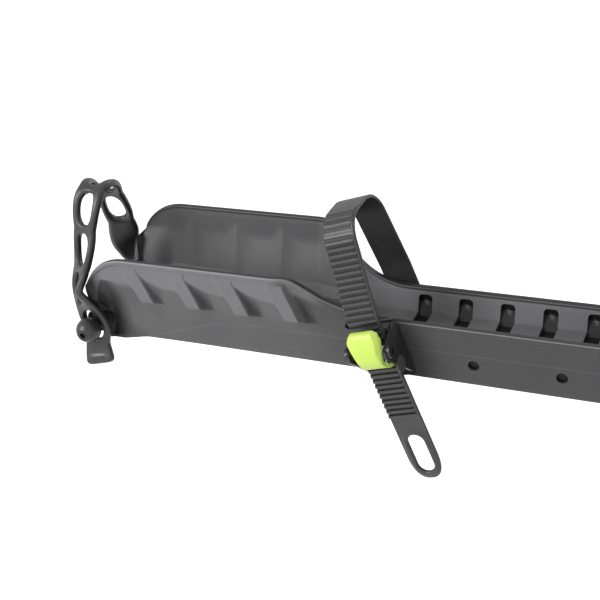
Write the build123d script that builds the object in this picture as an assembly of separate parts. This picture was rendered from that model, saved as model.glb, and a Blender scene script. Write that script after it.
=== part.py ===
from build123d import *
import math
import os

os.makedirs("parts", exist_ok=True)

# The carrier stands with +Z up, its long tray along X and the towing vehicle towards +Y.
# The origin is the centre of the cross pin hole in the shank that enters the tow bar.
# Lengths are in millimetres and angles in degrees.

# Clearances that every fit is worked out from
RUNNING = 0.05
LOOSE = 0.3
SOFT_GAP = 0.4

# Hitch shank
SHANK_SIZE = 50.0
SHANK_WALL = 4.0
SHANK_FRONT = 62.0
SHANK_REAR = -125.0
PIN_HOLE_RADIUS = 8.25
CAP_THICK = 4.0
CAP_DEPTH = 14.0
PLUG_WALL = 2.5

# Tilting hinge
HINGE_Y = -130.0
SPINE_Z = 66.3
PLATE_THICK = 6.0
PLATE_RIM = 13.0
PLATE_TAIL = -70.0
PLATE_TAIL_DROP = 22.0
SLOT_RADIUS = 50.0
TILT_DOWN = 35.0
TILT_UP = 90.0
SHANK_BOLT_PITCH = 26.0
SHANK_BOLT_Y = -96.0
BOLT_RADIUS = 6.0
BUSH_WALL = 3.0

# Spine that tilts
SPINE_WALL = 3.0
SPINE_FRONT = -105.0
SPINE_REAR = -362.0

# Mast, its foot and its folding pivot
MAST_Y = -228.0
MAST_SIZE = 40.0
MAST_WALL = 2.5
MAST_PIVOT_Z = 168.0
MAST_TOP = 770.0
MAST_BELOW = 22.0
FOOT_WIDTH = 50.0
FOOT_BOLT_PITCH = 24.0
FOOT_DROP = 16.0
FOOT_BOLT_DROP = 6.0
SCREW_RADIUS = 4.0

# Tray: where it lies, and its section, measured up from its bottom edge
CRADLE_X = 510.0
TRAY_Y = -300.0
SADDLE_THICK = 5.0
SADDLE_LENGTH = 120.0
SADDLE_WIDTH = 54.0
SADDLE_DROP = 44.0
SADDLE_BOLT_PITCH = 28.0
TRAY_SPLIT = 0.5
SKIRT_HALF = 25.0
SKIRT_WALL = 3.5
CREASE_HEIGHT = 24.4
WEB_UNDER = 24.0
FLOOR_HEIGHT = 28.4
BEAM_HEIGHT = 45.7
BEAM_FLOOR_HALF = 15.5
BEAM_TOP_WALL = 4.4
MID_HEIGHT = 41.4
BAND_HEIGHT = 62.4
CRADLE_HEIGHT = 82.4
CRADLE_FLARE = 19.5
CRADLE_LIP = 2.0
CRADLE_WALL = 3.2
CRADLE_FLOOR_INSET = 4.0
BEAM_FLARE_SHARE = 0.07
FLARE_POWER = 1.6

# Tray: places along it, measured from the cradle's centre
END_U = -108.0
END_THICK = 4.0
END_BULGE_U = -92.0
END_BULGE = 6.0
END_TUCK = 9.0
CORNER_RADIUS = 42.0
DIP_START = 57.0
DIP_ANGLE = 43.5
DIP_CREST_RADIUS = 21.0
DIP_FOOT_RADIUS = 68.0
CREASE_LOW_U = -75.0
CREASE_LOW_HEIGHT = 1.5
CREASE_LEVEL_U = 5.0

# Flange, hole and ear at the cradle's end
FLANGE_HALF = 47.5
FLANGE_KNEE_HEIGHT = 56.0
FLANGE_WAIST_HALF = 38.5
FLANGE_WAIST_HEIGHT = 34.0
FLANGE_FOOT_HALF = 32.0
END_NOTCH_HALF = 24.0
END_NOTCH_TOP_HALF = 33.0
END_NOTCH_HEIGHT = 40.0
FLANGE_HOLE_RADIUS = 4.0
FLANGE_HOLE_Y = 32.5
FLANGE_HOLE_HEIGHT = 31.0
EAR_RADIUS = 9.5
EAR_FACE = 38.0
EAR_ROOT = 24.0

# Ribs, grooves and holes of the tray
RIB_COUNT = 4
RIB_PITCH = 40.0
RIB_FIRST_U = -63.5
RIB_SLANT = 9.0
RIB_TOP = 74.0
RIB_BOTTOM = 45.5
RIB_TOP_WIDTH = 13.4
RIB_BOTTOM_WIDTH = 10.8
RIB_PROUD = 0.6
RIB_DRAFT = 2.0
RIB_BEVEL = 6.5
RIB_ROOT = 33.0
GROOVE_PITCH = 30.5
GROOVE_FIRST_U = 144.0
GROOVE_WIDTH = 10.5
GROOVE_TOP = 40.9
GROOVE_KNEE = 31.5
GROOVE_DEPTH = 3.0
GROOVE_CORNER = 3.0
GROOVE_END_MARGIN = 12.0
SIDE_HOLE_RADIUS = 4.1
SIDE_HOLE_HEIGHT = 16.5
SIDE_HOLE_FIRST_U = 131.0
SIDE_HOLE_PITCH = 61.0
SPARE_HOLE_U = 102.0
SPARE_HOLE_HEIGHT = 38.0
SPARE_HOLE_RADIUS = 3.5

# Joiner inside the tray's skirts
JOINER_HALF_LENGTH = 165.0
JOINER_WALL = 3.0
JOINER_SCREW_X = 45.0
JOINER_SCREW_Y = 11.0

# Ball stud and rubber strap at the cradle's end
BALL_U = -109.0
BALL_HEIGHT = 18.4
BALL_Y = 51.8
BALL_RADIUS = 9.8
BALL_FLAT = 8.6
BALL_GROOVE_INNER = 3.7
BALL_GROOVE_OUTER = 4.3
BALL_GROOVE_DEPTH = 0.8
NECK_RADIUS = 4.5
STUD_DEPTH = 11.0
STRAP_THICK = 6.0
STRAP_WIDTH = 24.5
STRAP_WAIST = 21.5
STRAP_PITCH = 32.0
STRAP_HOLE_LENGTH = 25.0
STRAP_HOLE_WIDTH = 14.0
STRAP_HOLES = 6
STRAP_STEPS = 4
STRAP_RISE = 101.0
STRAP_BOW = 10.0
STRAP_TAIL_DROP = 32.0
STRAP_TAIL_OUT = 9.0
STRAP_FIXED_DROP = 13.0
WASHER_RADIUS = 9.0
WASHER_THICK = 1.6
HEAD_RADIUS = 7.0
HEAD_HEIGHT = 4.4
SOCKET_RADIUS = 2.9
SOCKET_DEPTH = 3.0
HEX_SPAN = 1.85
HEX_HEIGHT = 1.3

# Ladder strap and its buckle
BUCKLE_U = 126.5
BUCKLE_Y = 50.0
BUCKLE_HEIGHT = 33.4
BUCKLE_TILT = 16.0
LADDER_TILT = 17.5
LADDER_WIDTH = 25.0
LADDER_THICK = 2.4
LADDER_BACK = 40.0
LADDER_FAR = 29.2
LADDER_APEX = 90.5
LADDER_CREST_HALF = 22.9
LADDER_CREST_RADIUS = 20.0
LADDER_BEND = 25.0
LADDER_RISE = 7.0
LADDER_FAR_TURN = 26.0
LADDER_FAR_BEND = 12.0
LADDER_FAR_END = -26.0
LADDER_TAIL = -116.0
TOOTH_HEIGHT = 1.2
TOOTH_PITCH = 3.8
TOOTH_MARGIN = 2.0
LADDER_STEP = 3.0
TEETH_TOP = 104.0
TEETH_END = -60.0
LOOP_TOP = -76.0
LOOP_SIDE = 5.3
LOOP_FOOT = 7.2

# Buckle pieces, around the pin
CHEEK_THICK = 2.0
CHEEK_ROOM = 0.8
BRACKET_BACK = 27.6
BRACKET_THICK = 2.4
SPACER_RIM = 0.6
CHEEK_TOP = 13.0
CHEEK_BOTTOM = -33.0
CHEEK_FRONT = 56.5
PIN_RADIUS = 3.0
PIN_HEAD_RADIUS = 5.4
PIN_HEAD_LENGTH = 2.4
BED_TOP = 12.0
BED_BOTTOM = -9.0
BED_WALL = 3.0
LEVER_WALL = 2.2
LEVER_LEFT = -11.4
LEVER_RIGHT = 8.2
LEVER_HUB_RADIUS = 5.4
LEVER_TOP = 18.0
LEVER_FOOT = -11.5
LEVER_REACH = 9.5
LEVER_BACK = 3.0
LEVER_BACK_HALF = 5.0
WIRE = 0.95
COIL_RADIUS = 3.95
COIL_PITCH = 1.6
COIL_TURNS = 2
COIL_LEG = 9.0

# Frame clamp on the mast
ARM_Z = 640.0
COLLAR_WALL = 5.0
COLLAR_HEIGHT = 64.0
GRIP_RADIUS = 20.0
PAD_THICK = 5.0
JAW_WALL = 8.0
JAW_WIDTH = 36.0
JAW_SPLIT = 2.0
GRIP_BACK = 18.0
JAW_TRAVEL = 45.0
GUIDE_OFFSET = 20.0
GUIDE_RADIUS = 4.0
GUIDE_WALL = 4.0
BOSS_HEIGHT = 22.0
THREAD_RADIUS = 5.0
KNOB_RADIUS = 19.0
KNOB_HEIGHT = 16.0
KNOB_LOBES = 6
KNOB_CROWN = 3.0
JAW_KNOB_RADIUS = 14.0

SKIRT_INNER = SKIRT_HALF - SKIRT_WALL
SPINE_HALF = SHANK_SIZE / 2 - LOOSE
COLLAR_HALF = MAST_SIZE / 2 + LOOSE + COLLAR_WALL
GRIP_Y = TRAY_Y - GRIP_BACK
JAW_BACK = GRIP_Y + GRIP_RADIUS + PAD_THICK + JAW_WALL
STUD_Y = (MAST_Y - COLLAR_HALF + JAW_BACK) / 2
CHEEK_INNER = LADDER_WIDTH / 2 + CHEEK_ROOM
CHEEK_OUTER = CHEEK_INNER + CHEEK_THICK
SPACER_RADIUS = SCREW_RADIUS * HEX_SPAN + SPACER_RIM
TRAY_Z = SPINE_Z + SPINE_HALF + SADDLE_THICK
MIDDLE_U = CRADLE_X - TRAY_SPLIT
SECTION_TOP = CRADLE_HEIGHT + 4.0


def lying(axis, low, high, centre):
    """The place whose Z lies along an axis name, midway from low to high."""
    turns = {"x": Rot(0, 90, 0), "y": Rot(90, 0, 0), "z": Rot(0, 0, 0)}
    place = dict(zip("xyz", centre))
    place[axis] = (low + high) / 2
    return Pos(place["x"], place["y"], place["z"]) * turns[axis]


def rod(axis, radius, low, high, centre):
    """A cylinder along an axis name, from low to high on that axis."""
    return lying(axis, low, high, centre) * Cylinder(radius, abs(high - low))


def hexagon(axis, radius, low, high, centre):
    """A six-sided bar along an axis name, from low to high on that axis."""
    bar = extrude(RegularPolygon(radius, 6), abs(high - low) / 2, both=True)
    return lying(axis, low, high, centre) * bar


def bolt(axis, radius, seat, tip, centre):
    """A hexagon head bolt, from the face under its head to its tip."""
    head = math.copysign(radius * HEX_HEIGHT, seat - tip)
    return hexagon(axis, radius * HEX_SPAN, seat, seat + head, centre) + rod(axis, radius, seat, tip, centre)


def nut(axis, radius, seat, side, centre):
    """A hexagon nut that stands on its seat, towards the side given as 1 or -1."""
    top = seat + side * radius * HEX_HEIGHT
    body = hexagon(axis, radius * HEX_SPAN, seat, top, centre)
    return body - rod(axis, radius + RUNNING, seat - side, top + side, centre)


def block(x, y, z):
    """A box between the two ends given for each axis."""
    size = [abs(ends[1] - ends[0]) for ends in (x, y, z)]
    middle = [(ends[0] + ends[1]) / 2 for ends in (x, y, z)]
    return Pos(*middle) * Box(*size)


def slab_x(points, low, high):
    """A plate across X, from its outline in Y and Z."""
    face = Plane.YZ.offset(low) * Polygon(*points, align=None)
    return extrude(face, high - low, dir=(1, 0, 0))


def slab_y(points, low, high):
    """A plate across Y, from its outline in X and Z."""
    face = Plane.XZ.offset(-low) * Polygon(*points, align=None)
    return extrude(face, high - low, dir=(0, 1, 0))


def both_sides(shape):
    """The shape and its mirror image on the other side of the middle."""
    return [shape, mirror(shape, about=Plane.YZ)]


def solids_of(shapes):
    """Every separate solid in a list of shapes."""
    return [solid for shape in shapes for solid in shape.solids()]


def save(name, *shapes):
    """Write one node, as one solid or as a group of separate ones."""
    solids = solids_of(shapes)
    shape = solids[0] if len(solids) == 1 else Compound(children=solids)
    export_step(shape, f"parts/{name}.step")


def save_pair(name, shape):
    """Write the node of the left end and its mirror image for the right end."""
    placed = Pos(-CRADLE_X, TRAY_Y, TRAY_Z) * shape
    save(f"{name}_left", placed)
    save(f"{name}_right", mirror(placed, about=Plane.YZ))


def save_both(name, *shapes):
    """Write one node with the shapes at both ends of the tray."""
    placed = [Pos(-CRADLE_X, TRAY_Y, TRAY_Z) * shape for shape in shapes]
    save(name, *placed, *[mirror(shape, about=Plane.YZ) for shape in placed])


# Tray half

def dip_points():
    """The side outline's corners where the cradle's rim dips to the beam's."""
    angle = math.radians(DIP_ANGLE)
    crest_u = DIP_START + DIP_CREST_RADIUS * math.sin(angle)
    crest_h = CRADLE_HEIGHT - DIP_CREST_RADIUS * (1 - math.cos(angle))
    foot_h = BEAM_HEIGHT + DIP_FOOT_RADIUS * (1 - math.cos(angle))
    foot_u = crest_u + (crest_h - foot_h) / math.tan(angle)
    beam_u = foot_u + DIP_FOOT_RADIUS * math.sin(angle)
    return (crest_u, crest_h), (foot_u, foot_h), (beam_u, BEAM_HEIGHT)


def flare_share(u):
    """How much of the cradle's flare the wall keeps at u."""
    beam_u = dip_points()[2][0]
    left = 1 - (u - DIP_START) / (beam_u - DIP_START)
    left = min(max(left, 0.0), 1.0)
    return BEAM_FLARE_SHARE + (1 - BEAM_FLARE_SHARE) * left ** FLARE_POWER


def end_share(u):
    """0 along the cradle, rising to 1 at its closed end."""
    share = (CREASE_LOW_U - u) / (CREASE_LOW_U - END_BULGE_U)
    return min(max(share, 0.0), 1.0)


def crease_height(u):
    """Height of the crease above which the wall leans out."""
    share = (u - CREASE_LOW_U) / (CREASE_LEVEL_U - CREASE_LOW_U)
    share = min(max(share, 0.0), 1.0)
    return CREASE_LOW_HEIGHT + (CREASE_HEIGHT - CREASE_LOW_HEIGHT) * share


def outer_half(u, height):
    """Half width of the tray's outside at u and a height."""
    base = SKIRT_HALF + END_BULGE * end_share(u)
    crease = crease_height(u)
    rise = min(max((height - crease) / (BAND_HEIGHT - crease), 0.0), 1.0)
    band = SKIRT_HALF + CRADLE_FLARE * flare_share(u)
    tuck = END_TUCK * end_share(u) * 4 * rise * (1 - rise)
    lip = CRADLE_LIP * flare_share(u) * max(height - BAND_HEIGHT, 0.0) / (CRADLE_HEIGHT - BAND_HEIGHT)
    return base + (band - base) * rise - tuck + lip


def inner_half(u, height):
    """Half width of the channel at u and a height above its floor."""
    share = flare_share(u)
    top = outer_half(u, BEAM_HEIGHT) - BEAM_TOP_WALL
    rise = min((height - FLOOR_HEIGHT) / (BEAM_HEIGHT - FLOOR_HEIGHT), 1.0)
    beam = BEAM_FLOOR_HALF + (top - BEAM_FLOOR_HALF) * rise
    inset = CRADLE_FLOOR_INSET if height <= FLOOR_HEIGHT else 0.0
    cradle = outer_half(u, height) - CRADLE_WALL - inset
    return beam + (cradle - beam) * share


def section(u, heights, half):
    """A closed section of the tray at u, from a half width at each height."""
    right = [(half(u, height), height) for height in heights]
    left = [(-y, height) for y, height in reversed(right)]
    return Plane.YZ.offset(u) * Polygon(*right, *left, align=None)


def stations(first, last):
    """Places along the tray where its section changes."""
    crest, foot, beam = dip_points()
    between = [END_BULGE_U, CREASE_LOW_U, (CREASE_LOW_U + CREASE_LEVEL_U) / 2, CREASE_LEVEL_U,
               DIP_START, crest[0], foot[0], (foot[0] + beam[0]) / 2, beam[0]]
    return [first, *between, last]


def tray_hull():
    """The tray's outside before its rim is cut to shape."""
    faces = [section(u, [0, crease_height(u), MID_HEIGHT, BAND_HEIGHT, SECTION_TOP], outer_half)
             for u in stations(END_U, MIDDLE_U)]
    return loft(faces, ruled=True)


def tray_channel():
    """The hollow running along the inside of the tray."""
    faces = [section(u, [FLOOR_HEIGHT, MID_HEIGHT, BAND_HEIGHT, SECTION_TOP + 1], inner_half)
             for u in stations(END_U + END_THICK, MIDDLE_U + 1)]
    return loft(faces, ruled=True)


def rim_outline():
    """The tray's side view, which the hull is cut to."""
    crest, foot, beam = dip_points()
    angle = math.radians(DIP_ANGLE)
    corner = (END_U, CRADLE_HEIGHT - CORNER_RADIUS)
    top = (END_U + CORNER_RADIUS, CRADLE_HEIGHT)
    edges = [
        Line((END_U, 0), corner),
        TangentArc(corner, top, tangent=(0, 1)),
        Line(top, (DIP_START, CRADLE_HEIGHT)),
        TangentArc((DIP_START, CRADLE_HEIGHT), crest, tangent=(1, 0)),
        Line(crest, foot),
        TangentArc(foot, beam, tangent=(math.cos(angle), -math.sin(angle))),
        Polyline(beam, (MIDDLE_U, BEAM_HEIGHT), (MIDDLE_U, 0), (END_U, 0)),
    ]
    return extrude(Plane.XZ * make_face(edges), FLANGE_HALF + 1, both=True)


def ribs():
    """Slanted ribs that carry the band's face down over the leaning wall."""
    front_y = SKIRT_HALF + CRADLE_FLARE + RIB_PROUD
    made = []
    for index in range(RIB_COUNT):
        top_u = RIB_FIRST_U + RIB_PITCH * index
        foot_u = top_u + RIB_SLANT
        corners = []
        for y, wide, drop in ((front_y, 0, 0), (RIB_ROOT, RIB_DRAFT, RIB_BEVEL)):
            top = RIB_TOP_WIDTH / 2
            foot = RIB_BOTTOM_WIDTH / 2 + wide
            points = [(top_u - top, RIB_TOP), (top_u + top, RIB_TOP),
                      (foot_u + foot, RIB_BOTTOM - drop), (foot_u - foot, RIB_BOTTOM - drop)]
            corners.append(Plane.XZ.offset(y) * Polygon(*points, align=None))
        near = loft(corners, ruled=True)
        made += [near, mirror(near, about=Plane.XZ)]
    return made


def end_flange():
    """The end wall, which stands out past both sides of the cradle."""
    half = [(FLANGE_FOOT_HALF, 0), (FLANGE_WAIST_HALF, FLANGE_WAIST_HEIGHT),
            (FLANGE_HALF, FLANGE_KNEE_HEIGHT), (FLANGE_HALF, CRADLE_HEIGHT)]
    outline = half + [(-y, height) for y, height in reversed(half)]
    plate = slab_x(outline, END_U, END_U + END_THICK)
    notch = slab_x([(-END_NOTCH_HALF, END_NOTCH_HEIGHT), (END_NOTCH_HALF, END_NOTCH_HEIGHT),
                    (END_NOTCH_TOP_HALF, SECTION_TOP), (-END_NOTCH_TOP_HALF, SECTION_TOP)],
                   END_U - 1, END_U + END_THICK + 1)
    holes = [rod("x", FLANGE_HOLE_RADIUS, END_U - 1, END_U + END_THICK + 1,
                 (0, side * FLANGE_HOLE_Y, FLANGE_HOLE_HEIGHT)) for side in (-1, 1)]
    return plate, [notch, *holes]


def grooves():
    """Cross grooves down both walls and over the floor of the beam."""
    last = MIDDLE_U - GROOVE_END_MARGIN
    count = int((last - GROOVE_FIRST_U) / GROOVE_PITCH) + 1
    wall = inner_half(last, BEAM_HEIGHT)
    bottom = FLOOR_HEIGHT - GROOVE_DEPTH
    half = [(BEAM_FLOOR_HALF - 1, bottom), (wall, GROOVE_KNEE), (wall, GROOVE_TOP)]
    outline = half + [(-y, height) for y, height in reversed(half)]
    across = slab_x(outline, -GROOVE_WIDTH / 2, GROOVE_WIDTH / 2)
    window = block((-GROOVE_WIDTH / 2, GROOVE_WIDTH / 2), (-SKIRT_HALF, SKIRT_HALF), (bottom, GROOVE_TOP))
    top_edges = window.edges().filter_by(Axis.Y).group_by(Axis.Z)[-1]
    groove = across & fillet(top_edges, GROOVE_CORNER)
    return [Pos(GROOVE_FIRST_U + GROOVE_PITCH * index, 0, 0) * groove for index in range(count)]


def side_hole_places():
    """Where the skirts have a bolt hole, along the tray."""
    count = int((MIDDLE_U - GROOVE_END_MARGIN - SIDE_HOLE_FIRST_U) / SIDE_HOLE_PITCH) + 1
    return [SIDE_HOLE_FIRST_U + SIDE_HOLE_PITCH * index for index in range(count)]


def tray_half():
    """One moulded half of the tray, in its cradle's own frame."""
    flange, flange_cuts = end_flange()
    under = block((END_U + END_THICK, MIDDLE_U + 1), (-SKIRT_INNER, SKIRT_INNER), (-1, WEB_UNDER))
    bodies = tray_hull() + ribs() + flange
    tray = (bodies & rim_outline()) - tray_channel() - under
    tray = tray - flange_cuts - grooves()
    holes = [rod("y", SIDE_HOLE_RADIUS, -SKIRT_HALF - 1, SKIRT_HALF + 1, (u, 0, SIDE_HOLE_HEIGHT))
             for u in side_hole_places()]
    spare = rod("y", SPARE_HOLE_RADIUS, -FLANGE_HALF, -BEAM_FLOOR_HALF, (SPARE_HOLE_U, 0, SPARE_HOLE_HEIGHT))
    tray = tray - holes - spare
    for side in (-1, 1):
        ear = rod("y", EAR_RADIUS, side * EAR_ROOT, side * EAR_FACE, (BALL_U, 0, BALL_HEIGHT))
        thread = rod("y", SCREW_RADIUS + RUNNING, side * (EAR_ROOT - 1), side * (EAR_FACE + 1),
                     (BALL_U, 0, BALL_HEIGHT))
        inside = block((END_U + END_THICK, END_U + 40), (-SKIRT_INNER, SKIRT_INNER), (0, WEB_UNDER))
        tray = tray + (ear - inside) - thread
    return tray


tray = tray_half()
save_pair("tray", tray)


# Ball stud and rubber strap

def ball_stud():
    """A ball headed stud that screws into the near ear."""
    centre = (BALL_U, -BALL_Y, BALL_HEIGHT)
    ball = Pos(*centre) * Sphere(BALL_RADIUS)
    flat = block((BALL_U - 2 * BALL_RADIUS, BALL_U + 2 * BALL_RADIUS),
                 (-BALL_Y - 2 * BALL_RADIUS, -BALL_Y - BALL_FLAT),
                 (BALL_HEIGHT - 2 * BALL_RADIUS, BALL_HEIGHT + 2 * BALL_RADIUS))
    neck = rod("y", NECK_RADIUS, -BALL_Y, -EAR_FACE, centre)
    shank = rod("y", SCREW_RADIUS, -EAR_FACE, -EAR_FACE + STUD_DEPTH, centre)
    front = -BALL_Y - BALL_FLAT
    socket = hexagon("y", SOCKET_RADIUS, front - 1, front + SOCKET_DEPTH, centre)
    groove = rod("y", BALL_GROOVE_OUTER, front - 1, front + BALL_GROOVE_DEPTH, centre)
    groove -= rod("y", BALL_GROOVE_INNER, front - 2, front + BALL_GROOVE_DEPTH + 1, centre)
    return ball - flat + neck + shank - socket - groove


# The near run of the strap from the ball to its crest: shares of the rise, the bow and
# the ear's half width, and the twist in degrees
STRAP_COURSE = (
    (0, 0, 1, 0), (0.129, 0.5, 1.0, 10), (0.255, 1.25, 0.91, 47), (0.396, 0.95, 0.78, 38),
    (0.547, 0.6, 0.657, 28), (0.696, 0.42, 0.535, 15), (0.843, 0.28, 0.414, 11),
    (0.957, 0.1, 0.24, 5), (1, 0, 0, 0),
)


def strap_line():
    """Points of the rubber strap's middle line, each with how far it is twisted."""
    seat = EAR_FACE + 2 * SOFT_GAP + STRAP_THICK / 2
    near = [(BALL_U, -seat - STRAP_TAIL_OUT, BALL_HEIGHT - STRAP_TAIL_DROP, 0),
            (BALL_U, -seat - STRAP_TAIL_OUT / 4, BALL_HEIGHT - STRAP_TAIL_DROP / 2, 0)]
    for rise, bow, lean, twist in STRAP_COURSE:
        near.append((BALL_U - STRAP_BOW * bow, -seat * lean, BALL_HEIGHT + STRAP_RISE * rise, twist))
    far = [(u, -y, height, -twist) for u, y, height, twist in reversed(near[2:-1])]
    return near + far + [(BALL_U, seat, BALL_HEIGHT - STRAP_FIXED_DROP, 0)]


def twist_at(line, lengths, distance):
    """The strap's twist at a distance along it, in degrees."""
    for index in range(len(lengths) - 1):
        if distance <= lengths[index + 1]:
            share = (distance - lengths[index]) / (lengths[index + 1] - lengths[index])
            return line[index][3] + share * (line[index + 1][3] - line[index][3])
    return line[-1][3]


def strap_width(distance):
    """The strap's width at a distance from a hole's centre, narrowest at the waists."""
    wave = (1 + math.cos(2 * math.pi * distance / STRAP_PITCH)) / 2
    return STRAP_WAIST + (STRAP_WIDTH - STRAP_WAIST) * math.sqrt(wave)


def strap_plane(path, line, lengths, distance):
    """A plane square to the strap, with its X across the strap's width."""
    share = min(max(distance / path.length, 0.0), 1.0)
    tangent = path.tangent_at(share)
    angle = math.radians(twist_at(line, lengths, distance))
    across = Vector(math.cos(angle), -math.sin(angle), 0)
    across = (across - tangent * across.dot(tangent)).normalized()
    return Plane(origin=path.position_at(share), x_dir=across, z_dir=tangent)


def rubber_strap():
    """A rubber strap with a row of long holes, twisting as it leaves the ball."""
    line = strap_line()
    path = Spline(*[point[:3] for point in line])
    lengths = [path.param_at_point(point[:3]) * path.length for point in line]
    first = lengths[2]
    last = lengths[-2]
    pitch_step = STRAP_PITCH / STRAP_STEPS
    below = int(first / pitch_step)
    above = int((path.length - first) / pitch_step)
    steps = [0.0] + [first + pitch_step * index for index in range(-below, above + 1)] + [path.length]
    faces = []
    for step in steps:
        plane = strap_plane(path, line, lengths, step)
        faces.append(plane * Rectangle(strap_width(step - first), STRAP_THICK))
    strap = loft(faces, ruled=True)
    cuts = []
    for index in range(STRAP_HOLES):
        plane = strap_plane(path, line, lengths, first + STRAP_PITCH * index)
        slot = plane * Plane.XZ * Rot(0, 0, 90) * SlotOverall(STRAP_HOLE_LENGTH, STRAP_HOLE_WIDTH)
        cuts.append(extrude(slot, 1.5 * STRAP_THICK, both=True))
    seat = strap_plane(path, line, lengths, last)
    cuts.append(seat * Rot(90, 0, 0) * Cylinder(SCREW_RADIUS + LOOSE, 3 * STRAP_THICK))
    return strap - cuts


def fixed_end_screw():
    """The domed screw and washer that hold the strap's fixed end to the far ear."""
    face = EAR_FACE + STRAP_THICK + 5 * SOFT_GAP
    head_face = face + WASHER_THICK
    head_top = head_face + HEAD_HEIGHT
    centre = (BALL_U, 0, BALL_HEIGHT)
    washer = rod("y", WASHER_RADIUS, face, head_face, centre)
    washer -= rod("y", SCREW_RADIUS + RUNNING, face - 1, head_face + 1, centre)
    screw = rod("y", HEAD_RADIUS, head_face, head_top, centre)
    screw = fillet(screw.edges().group_by(Axis.Y)[-1], HEAD_HEIGHT * 0.6)
    screw += rod("y", SCREW_RADIUS, EAR_FACE - STUD_DEPTH, head_face, centre)
    socket = hexagon("y", SOCKET_RADIUS, head_top - SOCKET_DEPTH, head_top + 1, centre)
    return washer, screw - socket


save_pair("ball_stud", ball_stud())
save_pair("rubber_strap", rubber_strap())
strap_washer, strap_screw = fixed_end_screw()
save_both("rubber_strap_washers", strap_washer)
save_both("rubber_strap_screws", strap_screw)


# Ladder strap, its buckle and its far screw

def shifted(path, distance, offset):
    """A point beside a flat path, at a distance along it and an offset to its left."""
    share = min(max(distance / path.length, 0.0), 1.0)
    point = path.position_at(share)
    tangent = path.tangent_at(share)
    return point.X - tangent.Y * offset, point.Y + tangent.X * offset


def ladder_line():
    """The ladder strap's middle line, in Y and along its lean, from its tail up and over."""
    near = LADDER_BACK + LADDER_THICK / 2
    points = [(-near, LADDER_TAIL), (-near, BED_TOP + LADDER_RISE), (-LADDER_CREST_HALF, LADDER_APEX),
              (LADDER_CREST_HALF, LADDER_APEX), (LADDER_FAR, LADDER_FAR_TURN), (LADDER_FAR, LADDER_FAR_END)]
    radii = [LADDER_BEND, LADDER_CREST_RADIUS, LADDER_CREST_RADIUS, LADDER_FAR_BEND]
    return FilletPolyline(*points, radius=radii)


def teeth(path):
    """The row of teeth on the ladder strap's outer face."""
    near = LADDER_BACK + LADDER_THICK / 2
    level = path.param_at_point((-near, 0)) * path.length
    count = int((TEETH_TOP - TEETH_END) / TOOTH_PITCH)
    root = LADDER_THICK / 4
    tip = LADDER_THICK / 2 + TOOTH_HEIGHT
    outline = ((0, root), (TOOTH_PITCH / 2, root), (TOOTH_PITCH / 2, tip), (TOOTH_PITCH / 4, tip))
    made = []
    for index in range(count):
        distance = level + TEETH_END + TOOTH_PITCH * index
        corners = [shifted(path, distance + along, out) for along, out in outline]
        made.append(slab_x(corners, -LADDER_WIDTH / 2 + TOOTH_MARGIN, LADDER_WIDTH / 2 - TOOTH_MARGIN))
    return made


def ladder_strap():
    """The toothed strap that arches over the tray, with a pull loop at its tail."""
    path = ladder_line()
    count = int(path.length / LADDER_STEP)
    steps = [path.length * index / count for index in range(count + 1)]
    outer = [shifted(path, step, LADDER_THICK / 2) for step in steps]
    inner = [shifted(path, step, -LADDER_THICK / 2) for step in reversed(steps)]
    strap = slab_x(outer + inner, -LADDER_WIDTH / 2, LADDER_WIDTH / 2) + teeth(path)
    wide = LADDER_WIDTH - 2 * LOOP_SIDE
    loop = RectangleRounded(wide, LOOP_TOP - LADDER_TAIL - LOOP_FOOT, wide / 2.2)
    loop = Plane.XZ * Pos(0, (LOOP_TOP + LADDER_TAIL + LOOP_FOOT) / 2) * loop
    tail = extrude(loop, 3 * LADDER_BACK, both=True)
    tail &= block((-LADDER_WIDTH, LADDER_WIDTH), (-3 * LADDER_BACK, 0), (LADDER_TAIL, LOOP_TOP))
    strap = Pos(BUCKLE_U, 0, BUCKLE_HEIGHT) * Rot(0, -LADDER_TILT, 0) * (strap - tail)
    centre = (SIDE_HOLE_FIRST_U, 0, SIDE_HOLE_HEIGHT)
    return strap - rod("y", SCREW_RADIUS + RUNNING, 0, 2 * LADDER_FAR, centre)


def ladder_fasteners():
    """The spacer, screw and nut that hold the ladder strap's far end to the tray."""
    centre = (SIDE_HOLE_FIRST_U, 0, SIDE_HOLE_HEIGHT)
    outside = LADDER_FAR + LADDER_THICK / 2 + SOFT_GAP
    inside = LADDER_FAR - LADDER_THICK / 2 - SOFT_GAP
    spacer = rod("y", SPACER_RADIUS, SKIRT_HALF, inside, centre)
    spacer -= rod("y", SCREW_RADIUS + RUNNING, SKIRT_HALF - 1, inside + 1, centre)
    screw = bolt("y", SCREW_RADIUS, outside, SKIRT_INNER - 2 * SCREW_RADIUS, centre)
    return spacer, screw, nut("y", SCREW_RADIUS, SKIRT_INNER, -1, centre)


def in_buckle(shape):
    """A buckle piece moved from its pin's own frame to the tray."""
    return Pos(BUCKLE_U, 0, BUCKLE_HEIGHT) * Rot(0, -BUCKLE_TILT, 0) * shape


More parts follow.
